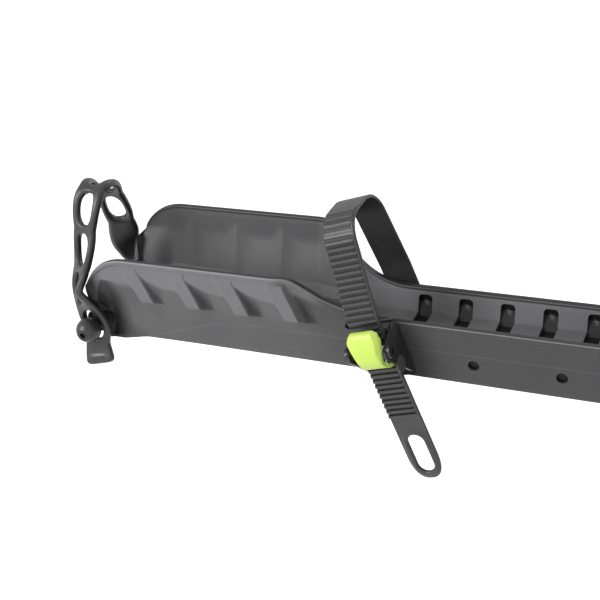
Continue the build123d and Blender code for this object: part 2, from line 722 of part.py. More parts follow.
def buckle_bracket():
    """The folded plate on the near wall, with the two cheeks that carry the pin."""
    back = -BRACKET_BACK
    plate = block((-CHEEK_OUTER, CHEEK_OUTER), (back - BRACKET_THICK, back), (CHEEK_BOTTOM, CHEEK_TOP))
    nose = PIN_HEAD_RADIUS
    cheek = [(back, CHEEK_TOP), (-CHEEK_FRONT, nose / 2), (-CHEEK_FRONT, -nose / 2), (back, CHEEK_BOTTOM)]
    bracket = plate + slab_x(cheek, CHEEK_INNER, CHEEK_OUTER) + slab_x(cheek, -CHEEK_OUTER, -CHEEK_INNER)
    bracket -= rod("x", PIN_RADIUS + RUNNING, -2 * CHEEK_OUTER, 2 * CHEEK_OUTER, (0, -BUCKLE_Y, 0))
    hole = rod("y", SCREW_RADIUS + RUNNING, -2 * BRACKET_BACK, 0, (SIDE_HOLE_FIRST_U, 0, SIDE_HOLE_HEIGHT))
    return in_buckle(bracket) - hole


def bracket_fasteners():
    """The spacer, screw and nut that hold the buckle's bracket to the near wall."""
    centre = (SIDE_HOLE_FIRST_U, 0, SIDE_HOLE_HEIGHT)
    plate_face = -BRACKET_BACK - BRACKET_THICK
    spacer = rod("y", SPACER_RADIUS, -BRACKET_BACK, -SKIRT_HALF, centre)
    spacer -= rod("y", SCREW_RADIUS + RUNNING, -BRACKET_BACK - 1, -SKIRT_HALF + 1, centre)
    screw = bolt("y", SCREW_RADIUS, plate_face, -SKIRT_INNER + 2 * SCREW_RADIUS, centre)
    return spacer, screw, nut("y", SCREW_RADIUS, -SKIRT_INNER, 1, centre)


def buckle_bed():
    """The block between the cheeks that the ladder strap slides over."""
    top = -LADDER_BACK + 2 * LOOSE
    foot = -BRACKET_BACK - BRACKET_THICK
    bed = block((-CHEEK_INNER, CHEEK_INNER), (top, foot), (BED_BOTTOM, BED_TOP))
    room = block((-CHEEK_INNER + BED_WALL, CHEEK_INNER - BED_WALL), (top + BED_WALL, foot + 1),
                 (BED_BOTTOM + BED_WALL, BED_TOP - BED_WALL))
    return in_buckle(bed - room)


def buckle_pin():
    """The riveted pin through the cheeks, the lever and its spring."""
    centre = (0, -BUCKLE_Y, 0)
    end = CHEEK_OUTER + PIN_HEAD_LENGTH
    pin = rod("x", PIN_RADIUS, -end, end, centre)
    for sign in (-1, 1):
        pin += rod("x", PIN_HEAD_RADIUS, sign * CHEEK_OUTER, sign * end, centre)
    return in_buckle(pin - hexagon("x", SOCKET_RADIUS, end - PIN_HEAD_LENGTH / 2, end + 1, centre))


def buckle_lever():
    """The thumb lever, whose foot reaches down to the strap's teeth."""
    face = [(-0.2, LEVER_TOP), (-0.74, 0.83 * LEVER_TOP), (-1, 0.22 * LEVER_TOP), (-1, 0.22 * LEVER_FOOT),
            (-0.63, 0.67 * LEVER_FOOT), (0, 0.93 * LEVER_FOOT), (0.42, LEVER_FOOT)]
    face = [(LEVER_REACH * share, z) for share, z in face]
    back = [(LEVER_BACK, -LEVER_BACK_HALF), (LEVER_BACK, LEVER_BACK_HALF)]
    outline = [(-BUCKLE_Y + y, z) for y, z in face + back]
    hollow = [(y + LEVER_WALL, z) for y, z in outline[:len(face)]]
    hollow += [(0, -BUCKLE_Y), (0, BUCKLE_Y)]
    lever = slab_x(outline, LEVER_LEFT, LEVER_RIGHT)
    lever -= slab_x(hollow, LEVER_LEFT + LEVER_WALL, LEVER_RIGHT - LEVER_WALL)
    lever += rod("x", LEVER_HUB_RADIUS, LEVER_LEFT, LEVER_RIGHT, (0, -BUCKLE_Y, 0))
    lever -= rod("x", PIN_RADIUS + RUNNING, LEVER_LEFT - 1, LEVER_RIGHT + 1, (0, -BUCKLE_Y, 0))
    return in_buckle(lever)


def coil_route():
    """The lever spring's wire: a leg, its turns around the pin, and the other leg."""
    start = LEVER_RIGHT + LOOSE + WIRE / 2

    def turned(turns):
        angle = math.pi + 2 * math.pi * turns
        return (start + COIL_PITCH * turns, -BUCKLE_Y + COIL_RADIUS * math.cos(angle),
                COIL_RADIUS * math.sin(angle))

    first = turned(0)
    last = turned(COIL_TURNS)
    pieces = [Line((first[0], first[1], COIL_LEG), first)]
    for index in range(4 * COIL_TURNS):
        pieces.append(ThreePointArc(turned(index / 4), turned((index + 0.5) / 4), turned((index + 1) / 4)))
    pieces.append(Line(last, (last[0], last[1], -COIL_LEG)))
    return pieces


def least_gap(pieces, width):
    """The least gap between parts of a wire that are more than three widths apart along it."""
    points = []
    travelled = 0.0
    for piece in pieces:
        count = max(int(piece.length / (width / 4)), 1)
        for index in range(count):
            points.append((travelled + piece.length * index / count, piece.position_at(index / count)))
        travelled += piece.length
    least = travelled
    for here, point in points:
        for there, other in points:
            if there - here > 3 * width:
                least = min(least, (other - point).length - width)
    return least


def buckle_spring():
    """The wire spring that turns the lever's foot back to the strap."""
    pieces = coil_route()
    print("least gap of the lever spring to itself", round(least_gap(pieces, WIRE), 2))
    start = pieces[0].position_at(0)
    face = Plane(origin=start, z_dir=(0, 0, -1)) * Circle(WIRE / 2)
    return in_buckle(sweep(face, path=Wire(pieces)))


save_pair("ladder_strap", ladder_strap())
save_pair("buckle_bracket", buckle_bracket())
far_spacer, far_screw, far_nut = ladder_fasteners()
near_spacer, near_screw, near_nut = bracket_fasteners()
save_both("side_spacers", far_spacer, near_spacer)
save_both("side_screws", far_screw, near_screw)
save_both("side_nuts", far_nut, near_nut)
save_pair("buckle_bed", buckle_bed())
save_pair("buckle_pin", buckle_pin())
save_pair("buckle_lever", buckle_lever())
save_pair("buckle_spring", buckle_spring())


# Shank, its cap and the hinge plates

def square_tube(size, wall, low, high):
    """A square tube along Y, centred on the Y axis."""
    half = size / 2
    outer = block((-half, half), (low, high), (-half, half))
    return outer - block((-half + wall, half - wall), (low - 1, high + 1), (-half + wall, half - wall))


def tube_cap(size, wall, fit):
    """A plug cap whose plate stands on a square tube's end at Z 0."""
    half = size / 2
    hole = half - wall - fit
    cap = block((-half, half), (-half, half), (0, CAP_THICK))
    cap = fillet(cap.edges().group_by(Axis.Z)[-1], CAP_THICK / 3)
    plug = block((-hole, hole), (-hole, hole), (-CAP_DEPTH, 0))
    room = hole - PLUG_WALL
    return cap + (plug - block((-room, room), (-room, room), (-CAP_DEPTH - 1, 0)))


def shank():
    """The square tube that enters the tow bar, with its cross pin hole."""
    tube = square_tube(SHANK_SIZE, SHANK_WALL, SHANK_REAR, SHANK_FRONT)
    holes = [rod("x", PIN_HOLE_RADIUS, -SHANK_SIZE, SHANK_SIZE, (0, 0, 0))]
    for y in shank_bolt_places():
        holes.append(rod("x", BOLT_RADIUS + RUNNING, -SHANK_SIZE, SHANK_SIZE, (0, y, 0)))
    return tube - holes


def shank_bolt_places():
    """Where the two hinge plate bolts cross the shank, along Y."""
    return [SHANK_BOLT_Y - SHANK_BOLT_PITCH / 2, SHANK_BOLT_Y + SHANK_BOLT_PITCH / 2]


def hinge_point(radius, angle):
    """Y and Z of a point around the hinge, its angle measured up from the rear."""
    turn = math.radians(angle)
    return HINGE_Y - radius * math.cos(turn), SPINE_Z + radius * math.sin(turn)


def arc_slot():
    """The curved slot that the tilt clamp's bolt moves in, in Y and Z."""
    half = BOLT_RADIUS + LOOSE
    margin = 2.0
    low = -TILT_DOWN - margin
    high = TILT_UP + margin
    middle = (low + high) / 2
    outer = ThreePointArc(hinge_point(SLOT_RADIUS + half, low), hinge_point(SLOT_RADIUS + half, middle),
                          hinge_point(SLOT_RADIUS + half, high))
    inner = ThreePointArc(hinge_point(SLOT_RADIUS - half, high), hinge_point(SLOT_RADIUS - half, middle),
                          hinge_point(SLOT_RADIUS - half, low))
    face = make_face([outer, Line(outer @ 1, inner @ 0), inner, Line(inner @ 1, outer @ 0)])
    ends = [Pos(*hinge_point(SLOT_RADIUS, angle)) * Circle(half) for angle in (low, high)]
    return face + ends


def quadrant_plate():
    """The right hinge plate: a disc around the hinge with a tail along the shank."""
    half = SHANK_SIZE / 2
    disc = Pos(HINGE_Y, SPINE_Z) * Circle(SLOT_RADIUS + PLATE_RIM)
    rear = HINGE_Y - SLOT_RADIUS / 2
    tail = Polygon((rear, SPINE_Z), (rear, -PLATE_TAIL_DROP), (PLATE_TAIL, -PLATE_TAIL_DROP),
                   (PLATE_TAIL, PLATE_TAIL_DROP), (HINGE_Y + SLOT_RADIUS, SPINE_Z), align=None)
    outline = disc + tail - arc_slot() - Pos(HINGE_Y, SPINE_Z) * Circle(BOLT_RADIUS + RUNNING)
    outline -= [Pos(y, 0) * Circle(BOLT_RADIUS + RUNNING) for y in shank_bolt_places()]
    return extrude(Plane.YZ.offset(half) * outline, PLATE_THICK, dir=(1, 0, 0))


def plate_fasteners():
    """Bolts and nuts that hold both plates to the shank, and the hinge's own."""
    outside = SHANK_SIZE / 2 + PLATE_THICK
    tip = outside + 2 * BOLT_RADIUS
    centres = [(0, y, 0) for y in shank_bolt_places()] + [(0, HINGE_Y, SPINE_Z)]
    bolts = [bolt("x", BOLT_RADIUS, -outside, tip, centre) for centre in centres]
    nuts = [nut("x", BOLT_RADIUS, outside, 1, centre) for centre in centres]
    return bolts, nuts


hinge_bolts, hinge_nuts = plate_fasteners()
save("hitch_shank", shank())
save("shank_cap", Pos(0, SHANK_FRONT, 0) * Rot(-90, 0, 0) * tube_cap(SHANK_SIZE, SHANK_WALL, RUNNING))
save("hinge_plates", *both_sides(quadrant_plate()))
save("hinge_bolts", *hinge_bolts)
save("hinge_nuts", *hinge_nuts)


# Spine, its bush and the tilt clamp

def foot_bolt_places():
    """Y and Z of the bolts that hold the mast's foot plates to the spine."""
    return [(MAST_Y + side * FOOT_BOLT_PITCH / 2, SPINE_Z - FOOT_BOLT_DROP) for side in (-1, 1)]


def saddle_bolt_places():
    """Y and Z of the bolts that hold the tray's saddle to the spine."""
    return [(TRAY_Y + side * SADDLE_BOLT_PITCH / 2, SPINE_Z) for side in (-1, 1)]


def spine():
    """The square tube that carries the tray and the mast."""
    tube = Pos(0, 0, SPINE_Z) * square_tube(2 * SPINE_HALF, SPINE_WALL, SPINE_REAR, SPINE_FRONT)
    holes = [(BOLT_RADIUS + RUNNING + BUSH_WALL, HINGE_Y, SPINE_Z),
             (BOLT_RADIUS + RUNNING, HINGE_Y - SLOT_RADIUS, SPINE_Z)]
    holes += [(SCREW_RADIUS + RUNNING, y, z) for y, z in foot_bolt_places() + saddle_bolt_places()]
    return tube - [rod("x", radius, -SHANK_SIZE, SHANK_SIZE, (0, y, z)) for radius, y, z in holes]


def hinge_bush():
    """The bush through the spine that turns on the hinge bolt."""
    length = SHANK_SIZE / 2 - RUNNING
    centre = (0, HINGE_Y, SPINE_Z)
    bush = rod("x", BOLT_RADIUS + RUNNING + BUSH_WALL, -length, length, centre)
    return bush - rod("x", BOLT_RADIUS + RUNNING, -SHANK_SIZE, SHANK_SIZE, centre)


def tilt_clamp_bolt():
    """The bolt that rides in the plates' curved slots."""
    plate = SHANK_SIZE / 2 + PLATE_THICK
    centre = (0, HINGE_Y - SLOT_RADIUS, SPINE_Z)
    return bolt("x", BOLT_RADIUS, -plate - RUNNING, plate + KNOB_HEIGHT - KNOB_CROWN, centre)


def knob(bore, radius):
    """A lobed clamp knob that stands on Z 0, with a blind bore from below."""
    lobe = radius / 3
    outline = Circle(radius - lobe)
    outline += [Rot(0, 0, 360 * index / KNOB_LOBES) * Pos(radius - lobe, 0) * Circle(lobe)
                for index in range(KNOB_LOBES)]
    foot = KNOB_HEIGHT / 3
    body = Pos(0, 0, foot) * extrude(outline, KNOB_HEIGHT - foot)
    body = fillet(body.edges().group_by(Axis.Z)[-1], lobe / 4)
    body += rod("z", radius - lobe, 0, foot, (0, 0, 0))
    return body - rod("z", bore, -1, KNOB_HEIGHT - KNOB_CROWN, (0, 0, 0))


save("spine_tube", spine())
rear_cap = Pos(0, SPINE_REAR, SPINE_Z) * Rot(90, 0, 0) * tube_cap(2 * SPINE_HALF, SPINE_WALL, RUNNING)
front_cap = Pos(0, SPINE_FRONT, SPINE_Z) * Rot(-90, 0, 0) * tube_cap(2 * SPINE_HALF, SPINE_WALL, RUNNING)
save("spine_caps", rear_cap, front_cap)
save("hinge_bush", hinge_bush())
save("tilt_bolt", tilt_clamp_bolt())
tilt_knob_seat = SHANK_SIZE / 2 + PLATE_THICK + LOOSE
save("tilt_knob", Pos(tilt_knob_seat, HINGE_Y - SLOT_RADIUS, SPINE_Z) * Rot(0, 90, 0)
     * knob(BOLT_RADIUS + RUNNING, KNOB_RADIUS))


# Saddle and joiner that hold the two tray halves on the spine

def saddle_screw_places():
    """X and Y of the screws that hold the joiner to the saddle."""
    return [(x, TRAY_Y + y) for x in (-JOINER_SCREW_X, JOINER_SCREW_X)
            for y in (-JOINER_SCREW_Y, JOINER_SCREW_Y)]


def saddle():
    """The bridge over the spine that the joiner stands on."""
    wide = (TRAY_Y - SADDLE_WIDTH / 2, TRAY_Y + SADDLE_WIDTH / 2)
    under = TRAY_Z - SADDLE_THICK
    top = block((-SADDLE_LENGTH / 2, SADDLE_LENGTH / 2), wide, (under, TRAY_Z))
    for sign in (-1, 1):
        side = (sign * SPINE_HALF, sign * (SPINE_HALF + SADDLE_THICK))
        top += block(side, wide, (under - SADDLE_DROP, under))
    hole = SCREW_RADIUS + RUNNING
    holes = [rod("z", hole, 0, 2 * TRAY_Z, (x, y, 0)) for x, y in saddle_screw_places()]
    holes += [rod("x", hole, -SHANK_SIZE, SHANK_SIZE, (0, y, z)) for y, z in saddle_bolt_places()]
    return top - holes


def joiner_bolt_places():
    """X of the bolts that hold the tray halves to the joiner."""
    right = [CRADLE_X - u for u in side_hole_places()[-3:-1]]
    return right + [-x for x in right]


def joiner():
    """The channel inside the skirts of both tray halves."""
    half = SKIRT_INNER - LOOSE
    top = TRAY_Z + WEB_UNDER - LOOSE
    long = JOINER_HALF_LENGTH
    outer = block((-long, long), (TRAY_Y - half, TRAY_Y + half), (TRAY_Z, top))
    room = half - JOINER_WALL
    inner = block((-long - 1, long + 1), (TRAY_Y - room, TRAY_Y + room), (TRAY_Z + JOINER_WALL, top + 1))
    hole = SCREW_RADIUS + RUNNING
    holes = [rod("z", hole, 0, 2 * TRAY_Z, (x, y, 0)) for x, y in saddle_screw_places()]
    holes += [rod("y", hole, TRAY_Y - 2 * half, TRAY_Y + 2 * half, (x, 0, TRAY_Z + SIDE_HOLE_HEIGHT))
              for x in joiner_bolt_places()]
    return outer - inner - holes


def tray_fasteners():
    """Bolts and nuts across the skirts, and screws and nuts down through the saddle."""
    bolts = []
    nuts = []
    near = TRAY_Y - SKIRT_HALF
    far = TRAY_Y + SKIRT_HALF
    for x in joiner_bolt_places():
        centre = (x, 0, TRAY_Z + SIDE_HOLE_HEIGHT)
        bolts.append(bolt("y", SCREW_RADIUS, near, far + 2 * SCREW_RADIUS, centre))
        nuts.append(nut("y", SCREW_RADIUS, far, 1, centre))
    screws = []
    screw_nuts = []
    for x, y in saddle_screw_places():
        under = TRAY_Z - SADDLE_THICK
        screws.append(bolt("z", SCREW_RADIUS, TRAY_Z + JOINER_WALL, under - 2 * SCREW_RADIUS, (x, y, 0)))
        screw_nuts.append(nut("z", SCREW_RADIUS, under, -1, (x, y, 0)))
    return bolts, nuts, screws, screw_nuts


def spine_fasteners():
    """Bolts and nuts that hold the saddle, then the mast's foot plates, to the spine."""
    bolts = []
    nuts = []
    for places, thick in ((saddle_bolt_places(), SADDLE_THICK), (foot_bolt_places(), PLATE_THICK)):
        outside = SPINE_HALF + thick
        for y, z in places:
            bolts.append(bolt("x", SCREW_RADIUS, -outside, outside + 2 * SCREW_RADIUS, (0, y, z)))
            nuts.append(nut("x", SCREW_RADIUS, outside, 1, (0, y, z)))
    return bolts, nuts


save("tray_saddle", saddle())
save("tray_joiner", joiner())
tray_bolts, tray_nuts, saddle_screws, saddle_nuts = tray_fasteners()
save("tray_bolts", *tray_bolts)
save("tray_nuts", *tray_nuts)
save("saddle_screws", *saddle_screws)
save("saddle_nuts", *saddle_nuts)
spine_bolts, spine_nuts = spine_fasteners()
save("spine_bolts", *spine_bolts)
save("spine_nuts", *spine_nuts)


# Mast and its folding foot

def mast_foot():
    """The right foot plate, which holds the mast's pivot above the spine."""
    half = FOOT_WIDTH / 2
    low = SPINE_Z - FOOT_DROP
    outline = Pos(MAST_Y, (low + MAST_PIVOT_Z) / 2) * Rectangle(FOOT_WIDTH, MAST_PIVOT_Z - low)
    outline += Pos(MAST_Y, MAST_PIVOT_Z) * Circle(half)
    outline -= [Pos(y, z) * Circle(SCREW_RADIUS + RUNNING) for y, z in foot_bolt_places()]
    outline -= Pos(MAST_Y, MAST_PIVOT_Z) * Circle(BOLT_RADIUS + RUNNING)
    return extrude(Plane.YZ.offset(SPINE_HALF) * outline, PLATE_THICK, dir=(1, 0, 0))


def mast():
    """The upright square tube, open at its foot."""
    tube = square_tube(MAST_SIZE, MAST_WALL, MAST_PIVOT_Z - MAST_BELOW, MAST_TOP)
    tube = Pos(0, MAST_Y, 0) * Rot(90, 0, 0) * tube
    pivot = (0, MAST_Y, MAST_PIVOT_Z)
    return tube - rod("x", BOLT_RADIUS + RUNNING + BUSH_WALL, -SHANK_SIZE, SHANK_SIZE, pivot)


def mast_bush():
    """The right bush in the mast's side, with a flange that fills up to the foot plate."""
    centre = (0, MAST_Y, MAST_PIVOT_Z)
    half = MAST_SIZE / 2
    bush = rod("x", BOLT_RADIUS + RUNNING + BUSH_WALL, half - MAST_WALL, half, centre)
    bush += rod("x", 2 * BOLT_RADIUS, half, SPINE_HALF - RUNNING, centre)
    return bush - rod("x", BOLT_RADIUS + RUNNING, 0, SHANK_SIZE, centre)


mast_pivot_out = SPINE_HALF + PLATE_THICK
save("mast_foot_plates", *both_sides(mast_foot()))
save("mast_tube", mast())
save("mast_cap", Pos(0, MAST_Y, MAST_TOP) * tube_cap(MAST_SIZE, MAST_WALL, RUNNING))
save("mast_bushes", *both_sides(mast_bush()))
mast_bolt_tip = mast_pivot_out + KNOB_HEIGHT - KNOB_CROWN
save("mast_pivot_bolt", bolt("x", BOLT_RADIUS, -mast_pivot_out, mast_bolt_tip, (0, MAST_Y, MAST_PIVOT_Z)))
save("mast_knob", Pos(mast_pivot_out + LOOSE, MAST_Y, MAST_PIVOT_Z) * Rot(0, 90, 0)
     * knob(BOLT_RADIUS + RUNNING, KNOB_RADIUS))


# Frame clamp that slides on the mast

def grip_section(radius, wall):
    """A ring around the gripped tube, in Y and Z, from its inside radius and its wall."""
    centre = Pos(GRIP_Y, ARM_Z)
    return centre * Circle(radius + wall) - centre * Circle(radius)


def across_jaw(outline, half_width):
    """A jaw piece as wide as given, from its outline in Y and Z."""
    return extrude(Plane.YZ * outline, half_width, both=True)


def guide_places():
    """X of the two guide bars that the upper jaw slides on."""
    return [-GUIDE_OFFSET, GUIDE_OFFSET]


def boss(low, high):
    """The block of a jaw that the guide bars and the screw pass, from low to high."""
    back = MAST_Y - COLLAR_HALF
    half = GUIDE_OFFSET + GUIDE_RADIUS + GUIDE_WALL
    return block((-half, half), (JAW_BACK - JAW_WALL / 2, back - LOOSE), (low, high))


def collar():
    """The sleeve on the mast and the lower jaw, cast as one."""
    half = COLLAR_HALF
    room = MAST_SIZE / 2 + LOOSE
    low = ARM_Z - COLLAR_HEIGHT / 2
    high = ARM_Z + COLLAR_HEIGHT / 2
    split = ARM_Z - JAW_SPLIT / 2
    sleeve = block((-half, half), (MAST_Y - half, MAST_Y + half), (low, high))
    ring = across_jaw(grip_section(GRIP_RADIUS + PAD_THICK, JAW_WALL), JAW_WIDTH / 2)
    jaw = ring & block((-SHANK_SIZE, SHANK_SIZE), (2 * TRAY_Y, 0), (0, split))
    bridge = block((-JAW_WIDTH / 2, JAW_WIDTH / 2), (MAST_Y - half - 1, MAST_Y - half), (low, split))
    body = sleeve + jaw + boss(low, split) + bridge
    body -= across_jaw(Pos(GRIP_Y, ARM_Z) * Circle(GRIP_RADIUS + PAD_THICK), SHANK_SIZE)
    holes = [rod("z", GUIDE_RADIUS, low - 1, ARM_Z, (x, STUD_Y, 0)) for x in guide_places()]
    holes.append(rod("z", THREAD_RADIUS, low - 1, ARM_Z, (0, STUD_Y, 0)))
    holes.append(block((-room, room), (MAST_Y - room, MAST_Y + room), (low - 1, high + 1)))
    holes.append(rod("y", THREAD_RADIUS + RUNNING, MAST_Y, MAST_Y + 2 * half, (0, 0, ARM_Z)))
    return body - holes


def guide_bars():
    """Two smooth bars and the threaded stud, pressed into the lower jaw."""
    low = ARM_Z - COLLAR_HEIGHT / 2
    top = ARM_Z + JAW_SPLIT / 2 + BOSS_HEIGHT + JAW_TRAVEL
    bars = [rod("z", GUIDE_RADIUS, low, top, (x, STUD_Y, 0)) for x in guide_places()]
    stud = rod("z", THREAD_RADIUS, low, top + KNOB_HEIGHT - KNOB_CROWN, (0, STUD_Y, 0))
    return bars, stud


def upper_jaw():
    """The jaw that slides up the guide bars to open the clamp."""
    low = ARM_Z + JAW_SPLIT / 2
    ring = across_jaw(grip_section(GRIP_RADIUS + PAD_THICK, JAW_WALL), JAW_WIDTH / 2)
    jaw = ring & block((-SHANK_SIZE, SHANK_SIZE), (2 * TRAY_Y, 0), (low, 2 * ARM_Z))
    body = jaw + boss(low, low + BOSS_HEIGHT)
    body -= across_jaw(Pos(GRIP_Y, ARM_Z) * Circle(GRIP_RADIUS + PAD_THICK), SHANK_SIZE)
    holes = [rod("z", GUIDE_RADIUS + RUNNING, 0, 2 * ARM_Z, (x, STUD_Y, 0)) for x in guide_places()]
    return body - holes - rod("z", THREAD_RADIUS + LOOSE, 0, 2 * ARM_Z, (0, STUD_Y, 0))


def jaw_pads():
    """The lower and upper rubber pads, each a half ring inside its jaw."""
    ring = across_jaw(grip_section(GRIP_RADIUS, PAD_THICK), JAW_WIDTH / 2)
    wide = (-SHANK_SIZE, SHANK_SIZE)
    lower = ring & block(wide, (2 * TRAY_Y, 0), (0, ARM_Z - JAW_SPLIT / 2))
    upper = ring & block(wide, (2 * TRAY_Y, 0), (ARM_Z + JAW_SPLIT / 2, 2 * ARM_Z))
    return lower, upper


def clamp_screw():
    """The screw that presses on the mast and fixes the collar's height."""
    start = MAST_Y + MAST_SIZE / 2 + LOOSE
    end = MAST_Y + COLLAR_HALF + LOOSE + KNOB_HEIGHT - KNOB_CROWN
    return rod("y", THREAD_RADIUS, start, end, (0, 0, ARM_Z))


save("clamp_collar", collar())
bars, jaw_stud = guide_bars()
save("guide_bars", *bars)
save("jaw_stud", jaw_stud)
save("upper_jaw", upper_jaw())
lower_pad, upper_pad = jaw_pads()
save("lower_pad", lower_pad)
save("upper_pad", upper_pad)
jaw_knob = knob(THREAD_RADIUS + RUNNING, JAW_KNOB_RADIUS)
jaw_knob -= rod("z", THREAD_RADIUS + RUNNING, 0, 2 * KNOB_HEIGHT, (0, 0, 0))
save("jaw_knob", Pos(0, STUD_Y, ARM_Z + JAW_SPLIT / 2 + BOSS_HEIGHT + RUNNING) * jaw_knob)
collar_knob = Pos(0, MAST_Y + COLLAR_HALF + LOOSE, ARM_Z) * Rot(-90, 0, 0) * knob(THREAD_RADIUS, KNOB_RADIUS)
save("collar_knob", collar_knob, clamp_screw())
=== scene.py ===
import math

import bmesh
import bpy
import numpy as np
from mathutils import Matrix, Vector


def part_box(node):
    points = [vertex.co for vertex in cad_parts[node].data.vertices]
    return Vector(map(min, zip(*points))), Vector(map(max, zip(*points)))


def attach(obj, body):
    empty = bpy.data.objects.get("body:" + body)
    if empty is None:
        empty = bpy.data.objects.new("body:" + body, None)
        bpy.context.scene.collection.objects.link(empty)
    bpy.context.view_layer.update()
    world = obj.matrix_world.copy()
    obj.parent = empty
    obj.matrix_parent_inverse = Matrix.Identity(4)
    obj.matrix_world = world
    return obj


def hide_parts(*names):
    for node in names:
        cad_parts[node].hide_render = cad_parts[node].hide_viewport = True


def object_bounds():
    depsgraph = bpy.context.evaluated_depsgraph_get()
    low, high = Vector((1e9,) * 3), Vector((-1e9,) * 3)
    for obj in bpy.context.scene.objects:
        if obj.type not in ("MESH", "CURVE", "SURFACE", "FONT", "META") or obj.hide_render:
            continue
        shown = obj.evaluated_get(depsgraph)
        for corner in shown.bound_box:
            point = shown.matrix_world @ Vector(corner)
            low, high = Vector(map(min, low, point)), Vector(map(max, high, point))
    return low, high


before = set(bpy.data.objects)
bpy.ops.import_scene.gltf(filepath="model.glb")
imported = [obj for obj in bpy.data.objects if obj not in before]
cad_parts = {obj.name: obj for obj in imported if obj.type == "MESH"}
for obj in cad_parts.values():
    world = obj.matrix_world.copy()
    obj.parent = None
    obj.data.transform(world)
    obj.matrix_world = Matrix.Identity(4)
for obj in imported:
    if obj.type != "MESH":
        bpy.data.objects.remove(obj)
cad_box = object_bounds()


# Hitch shank, hinge plates, spine, saddle, joiner and mast
# Square tubes and laser cut plates of mild steel, powder coated satin black after
# welding, so every face has a fine pebble.

POWDER_DARK = (0.021, 0.021, 0.023)
POWDER_LIGHT = (0.034, 0.034, 0.037)


def new_socket(group, name, kind, way, value=None):
    """Adds one named socket to a shader node group."""
    socket = group.interface.new_socket(name=name, in_out=way, socket_type=kind)
    if value is not None:
        socket.default_value = value
    return socket


def add_node(tree, kind, inputs=(), **settings):
    """A shader node with its settings. Each input takes a value, or another node's output."""
    node = tree.nodes.new(kind)
    for name, value in settings.items():
        setattr(node, name, value)
    for socket, value in inputs:
        if isinstance(value, bpy.types.NodeSocket):
            tree.links.new(value, node.inputs[socket])
        else:
            node.inputs[socket].default_value = value
    return node


def grain_group():
    """A moulded or coated skin: two tones mixed by broad mottle and fine speckle,
    a roughness that follows the mottle, and a bump from two sizes of grain."""
    group = bpy.data.node_groups.new("Skin grain", "ShaderNodeTree")
    for name in ("Dark", "Light"):
        new_socket(group, name, "NodeSocketColor", "INPUT", (0.1, 0.1, 0.1, 1.0))
    for name, value in (("Mottle scale", 40.0), ("Grain scale", 900.0), ("Speckle", 0.3), ("Roughness", 0.5),
                        ("Roughness spread", 0.1), ("Depth", 0.2), ("Reach", 0.0002)):
        new_socket(group, name, "NodeSocketFloat", "INPUT", value)
    new_socket(group, "Color", "NodeSocketColor", "OUTPUT")
    new_socket(group, "Roughness", "NodeSocketFloat", "OUTPUT")
    new_socket(group, "Normal", "NodeSocketVector", "OUTPUT")
    given = group.nodes.new("NodeGroupInput").outputs
    place = group.nodes.new("ShaderNodeTexCoord").outputs["Object"]
    mottle, fine = (
        add_node(group, "ShaderNodeTexNoise", (("Vector", place), ("Scale", given[size]), ("Detail", detail)))
        for size, detail in (("Mottle scale", 4.0), ("Grain scale", 2.0)))
    share = add_node(group, "ShaderNodeMix", ((0, given["Speckle"]), (2, mottle.outputs["Fac"]),
                                              (3, fine.outputs["Fac"])), data_type="FLOAT")
    spread = add_node(group, "ShaderNodeMapRange", (("Value", share.outputs[0]), ("From Min", 0.35),
                                                    ("From Max", 0.65)))
    tone = add_node(group, "ShaderNodeMix", ((0, spread.outputs["Result"]), (6, given["Dark"]),
                                             (7, given["Light"])), data_type="RGBA")
    centred = add_node(group, "ShaderNodeMath", ((0, mottle.outputs["Fac"]), (1, 0.5)), operation="SUBTRACT")
    rough = add_node(group, "ShaderNodeMath", ((0, centred.outputs[0]), (1, given["Roughness spread"]),
                                               (2, given["Roughness"])), operation="MULTIPLY_ADD")
    bump = add_node(group, "ShaderNodeBump", (("Strength", given["Depth"]), ("Distance", given["Reach"]),
                                              ("Height", fine.outputs["Fac"])))
    add_node(group, "NodeGroupOutput", (("Color", tone.outputs[2]), ("Roughness", rough.outputs[0]),
                                        ("Normal", bump.outputs["Normal"])))
    return group


skin_grain = grain_group()


def skin_material(name, dark, light, mottle, grain, speckle, roughness, spread, depth, reach, metallic=0.0,
                  gloss=0.5):
    """A material whose colour, roughness and normal come from the skin grain."""
    material = bpy.data.materials.new(name)
    material.use_nodes = True
    tree = material.node_tree
    shader = tree.nodes["Principled BSDF"]
    skin = add_node(tree, "ShaderNodeGroup", node_tree=skin_grain)
    for socket, value in (("Dark", (*dark, 1.0)), ("Light", (*light, 1.0)), ("Mottle scale", mottle),
                          ("Grain scale", grain), ("Speckle", speckle), ("Roughness", roughness),
                          ("Roughness spread", spread), ("Depth", depth), ("Reach", reach)):
        skin.inputs[socket].default_value = value
    for output, socket in (("Color", "Base Color"), ("Roughness", "Roughness"), ("Normal", "Normal")):
        tree.links.new(skin.outputs[output], shader.inputs[socket])
    shader.inputs["Metallic"].default_value = metallic
    shader.inputs["Specular IOR Level"].default_value = gloss
    return material


def paint(material, *names):
    """Gives CAD nodes their material."""
    for name in names:
        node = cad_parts[name]
        node.data.materials.clear()
        node.data.materials.append(material)


powder_coat = skin_material("Powder coat", POWDER_DARK, POWDER_LIGHT, mottle=35.0, grain=1400.0,
                            speckle=0.5, roughness=0.42, spread=0.2, depth=0.35, reach=0.0002)
paint(powder_coat, "hitch_shank", "hinge_plates", "spine_tube", "tray_saddle", "tray_joiner", "mast_tube",
      "mast_foot_plates")


# Caps, bushes, knobs, beds and clamp castings
# Injection moulded black nylon, filled with glass fibre, with a finer and duller
# skin than the powder coat.

